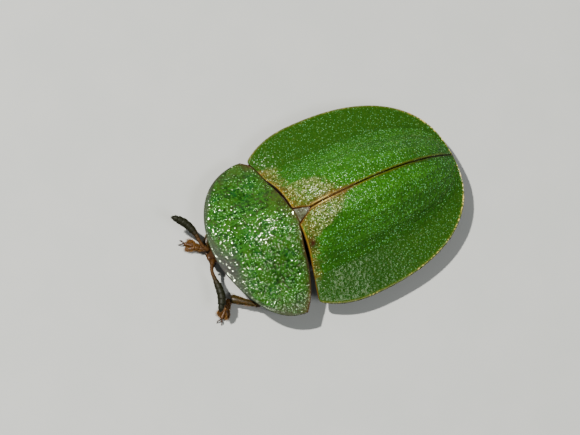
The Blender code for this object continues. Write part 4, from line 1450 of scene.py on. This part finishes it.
class BEETLE_OT_head(bpy.types.Operator):
    """Head, mouthparts and eyes"""

    bl_idname = "beetle.head"
    bl_label = "Head"

    def execute(self, context):
        amber = context.scene.beetle_limbs.amber
        finish = limb_finish("head_cuticle", amber, (0.035, 0.018, 0.008), 0.05 * MM, 0.30, 0.25)
        piece("head_capsule", head_mesh(), finish, "brown_cuticle", "head")
        black = plain_finish("eye_lens", (0.010, 0.009, 0.008), (0.018, 0.014, 0.012), 0.05 * MM, 0.18, 0.6)
        for side, word in ((1, "left"), (-1, "right")):
            node = "eye_" + word
            piece(node + "_lenses", eye_mesh(node, side), black, "eye", node)
        return {"FINISHED"}


class BEETLE_OT_limbs(bpy.types.Operator):
    """Feelers and legs with their bristles and claws"""

    bl_idname = "beetle.limbs"
    bl_label = "Feelers and legs"

    def execute(self, context):
        colours = context.scene.beetle_limbs
        club = limb_finish("feeler_cuticle", colours.amber, colours.club, 0.03 * MM, 0.50, 0.0)
        shin = limb_finish("leg_cuticle", colours.amber, colours.olive, 0.05 * MM, 0.34, 0.04)
        down, hairs, claws = [], [], []
        for number, (word, points) in enumerate(FEELERS.items()):
            parts, roots = feeler_parts(points, number)
            piece("antenna_" + word + "_joints", joined(parts), club, "feeler", "antenna_" + word)
            down += roots
        for number, (word, places) in enumerate(LEGS.items()):
            parts, roots, hooks = leg_parts(places, number)
            piece("leg_" + word + "_joints", joined(parts), shin, "orange_leg", "leg_" + word)
            hairs += roots
            claws += hooks
        horn = plain_finish("claw_horn", (0.05, 0.020, 0.008), (0.03, 0.012, 0.005), 0.04 * MM)
        piece("claws", joined(claws), horn, "orange_leg")
        hair = plain_finish("leg_hair", (0.42, 0.20, 0.035), (0.15, 0.060, 0.009), 0.06 * MM, 0.30, 0.0)
        piece("leg_bristles", bristle_coat(hairs, 7), hair, "orange_leg")
        browns = ((0.022, 0.018, 0.007), (0.014, 0.012, 0.005))
        fuzz = plain_finish("feeler_hair", *browns, 0.06 * MM, 0.5, 0.0)
        piece("feeler_bristles", bristle_coat(down, 8), fuzz, "feeler")
        return {"FINISHED"}


class BEETLE_PT_panel(bpy.types.Panel):
    """Steps that build the beetle"""

    bl_label = "Tortoise beetle"
    bl_idname = "BEETLE_PT_panel"
    bl_space_type = "VIEW_3D"
    bl_region_type = "UI"
    bl_category = "Beetle"

    def draw(self, context):
        for step in STEPS:
            self.layout.operator(step.bl_idname)


STEPS = (
    BEETLE_OT_stage,
    BEETLE_OT_wing_cases,
    BEETLE_OT_shield,
    BEETLE_OT_scutellum,
    BEETLE_OT_underside,
    BEETLE_OT_head,
    BEETLE_OT_limbs,
)
CLASSES = (ShellSizes, ShieldSizes, LimbColours, *STEPS, BEETLE_PT_panel)


def register():
    for item in CLASSES:
        bpy.utils.register_class(item)
    bpy.types.Scene.beetle_shell = PointerProperty(type=ShellSizes)
    bpy.types.Scene.beetle_shield = PointerProperty(type=ShieldSizes)
    bpy.types.Scene.beetle_limbs = PointerProperty(type=LimbColours)


def unregister():
    del bpy.types.Scene.beetle_limbs
    del bpy.types.Scene.beetle_shield
    del bpy.types.Scene.beetle_shell
    for item in reversed(CLASSES):
        bpy.utils.unregister_class(item)


def main():
    register()
    for step in STEPS:
        area, name = step.bl_idname.split(".")
        getattr(getattr(bpy.ops, area), name)()


if __name__ == "__main__":
    main()
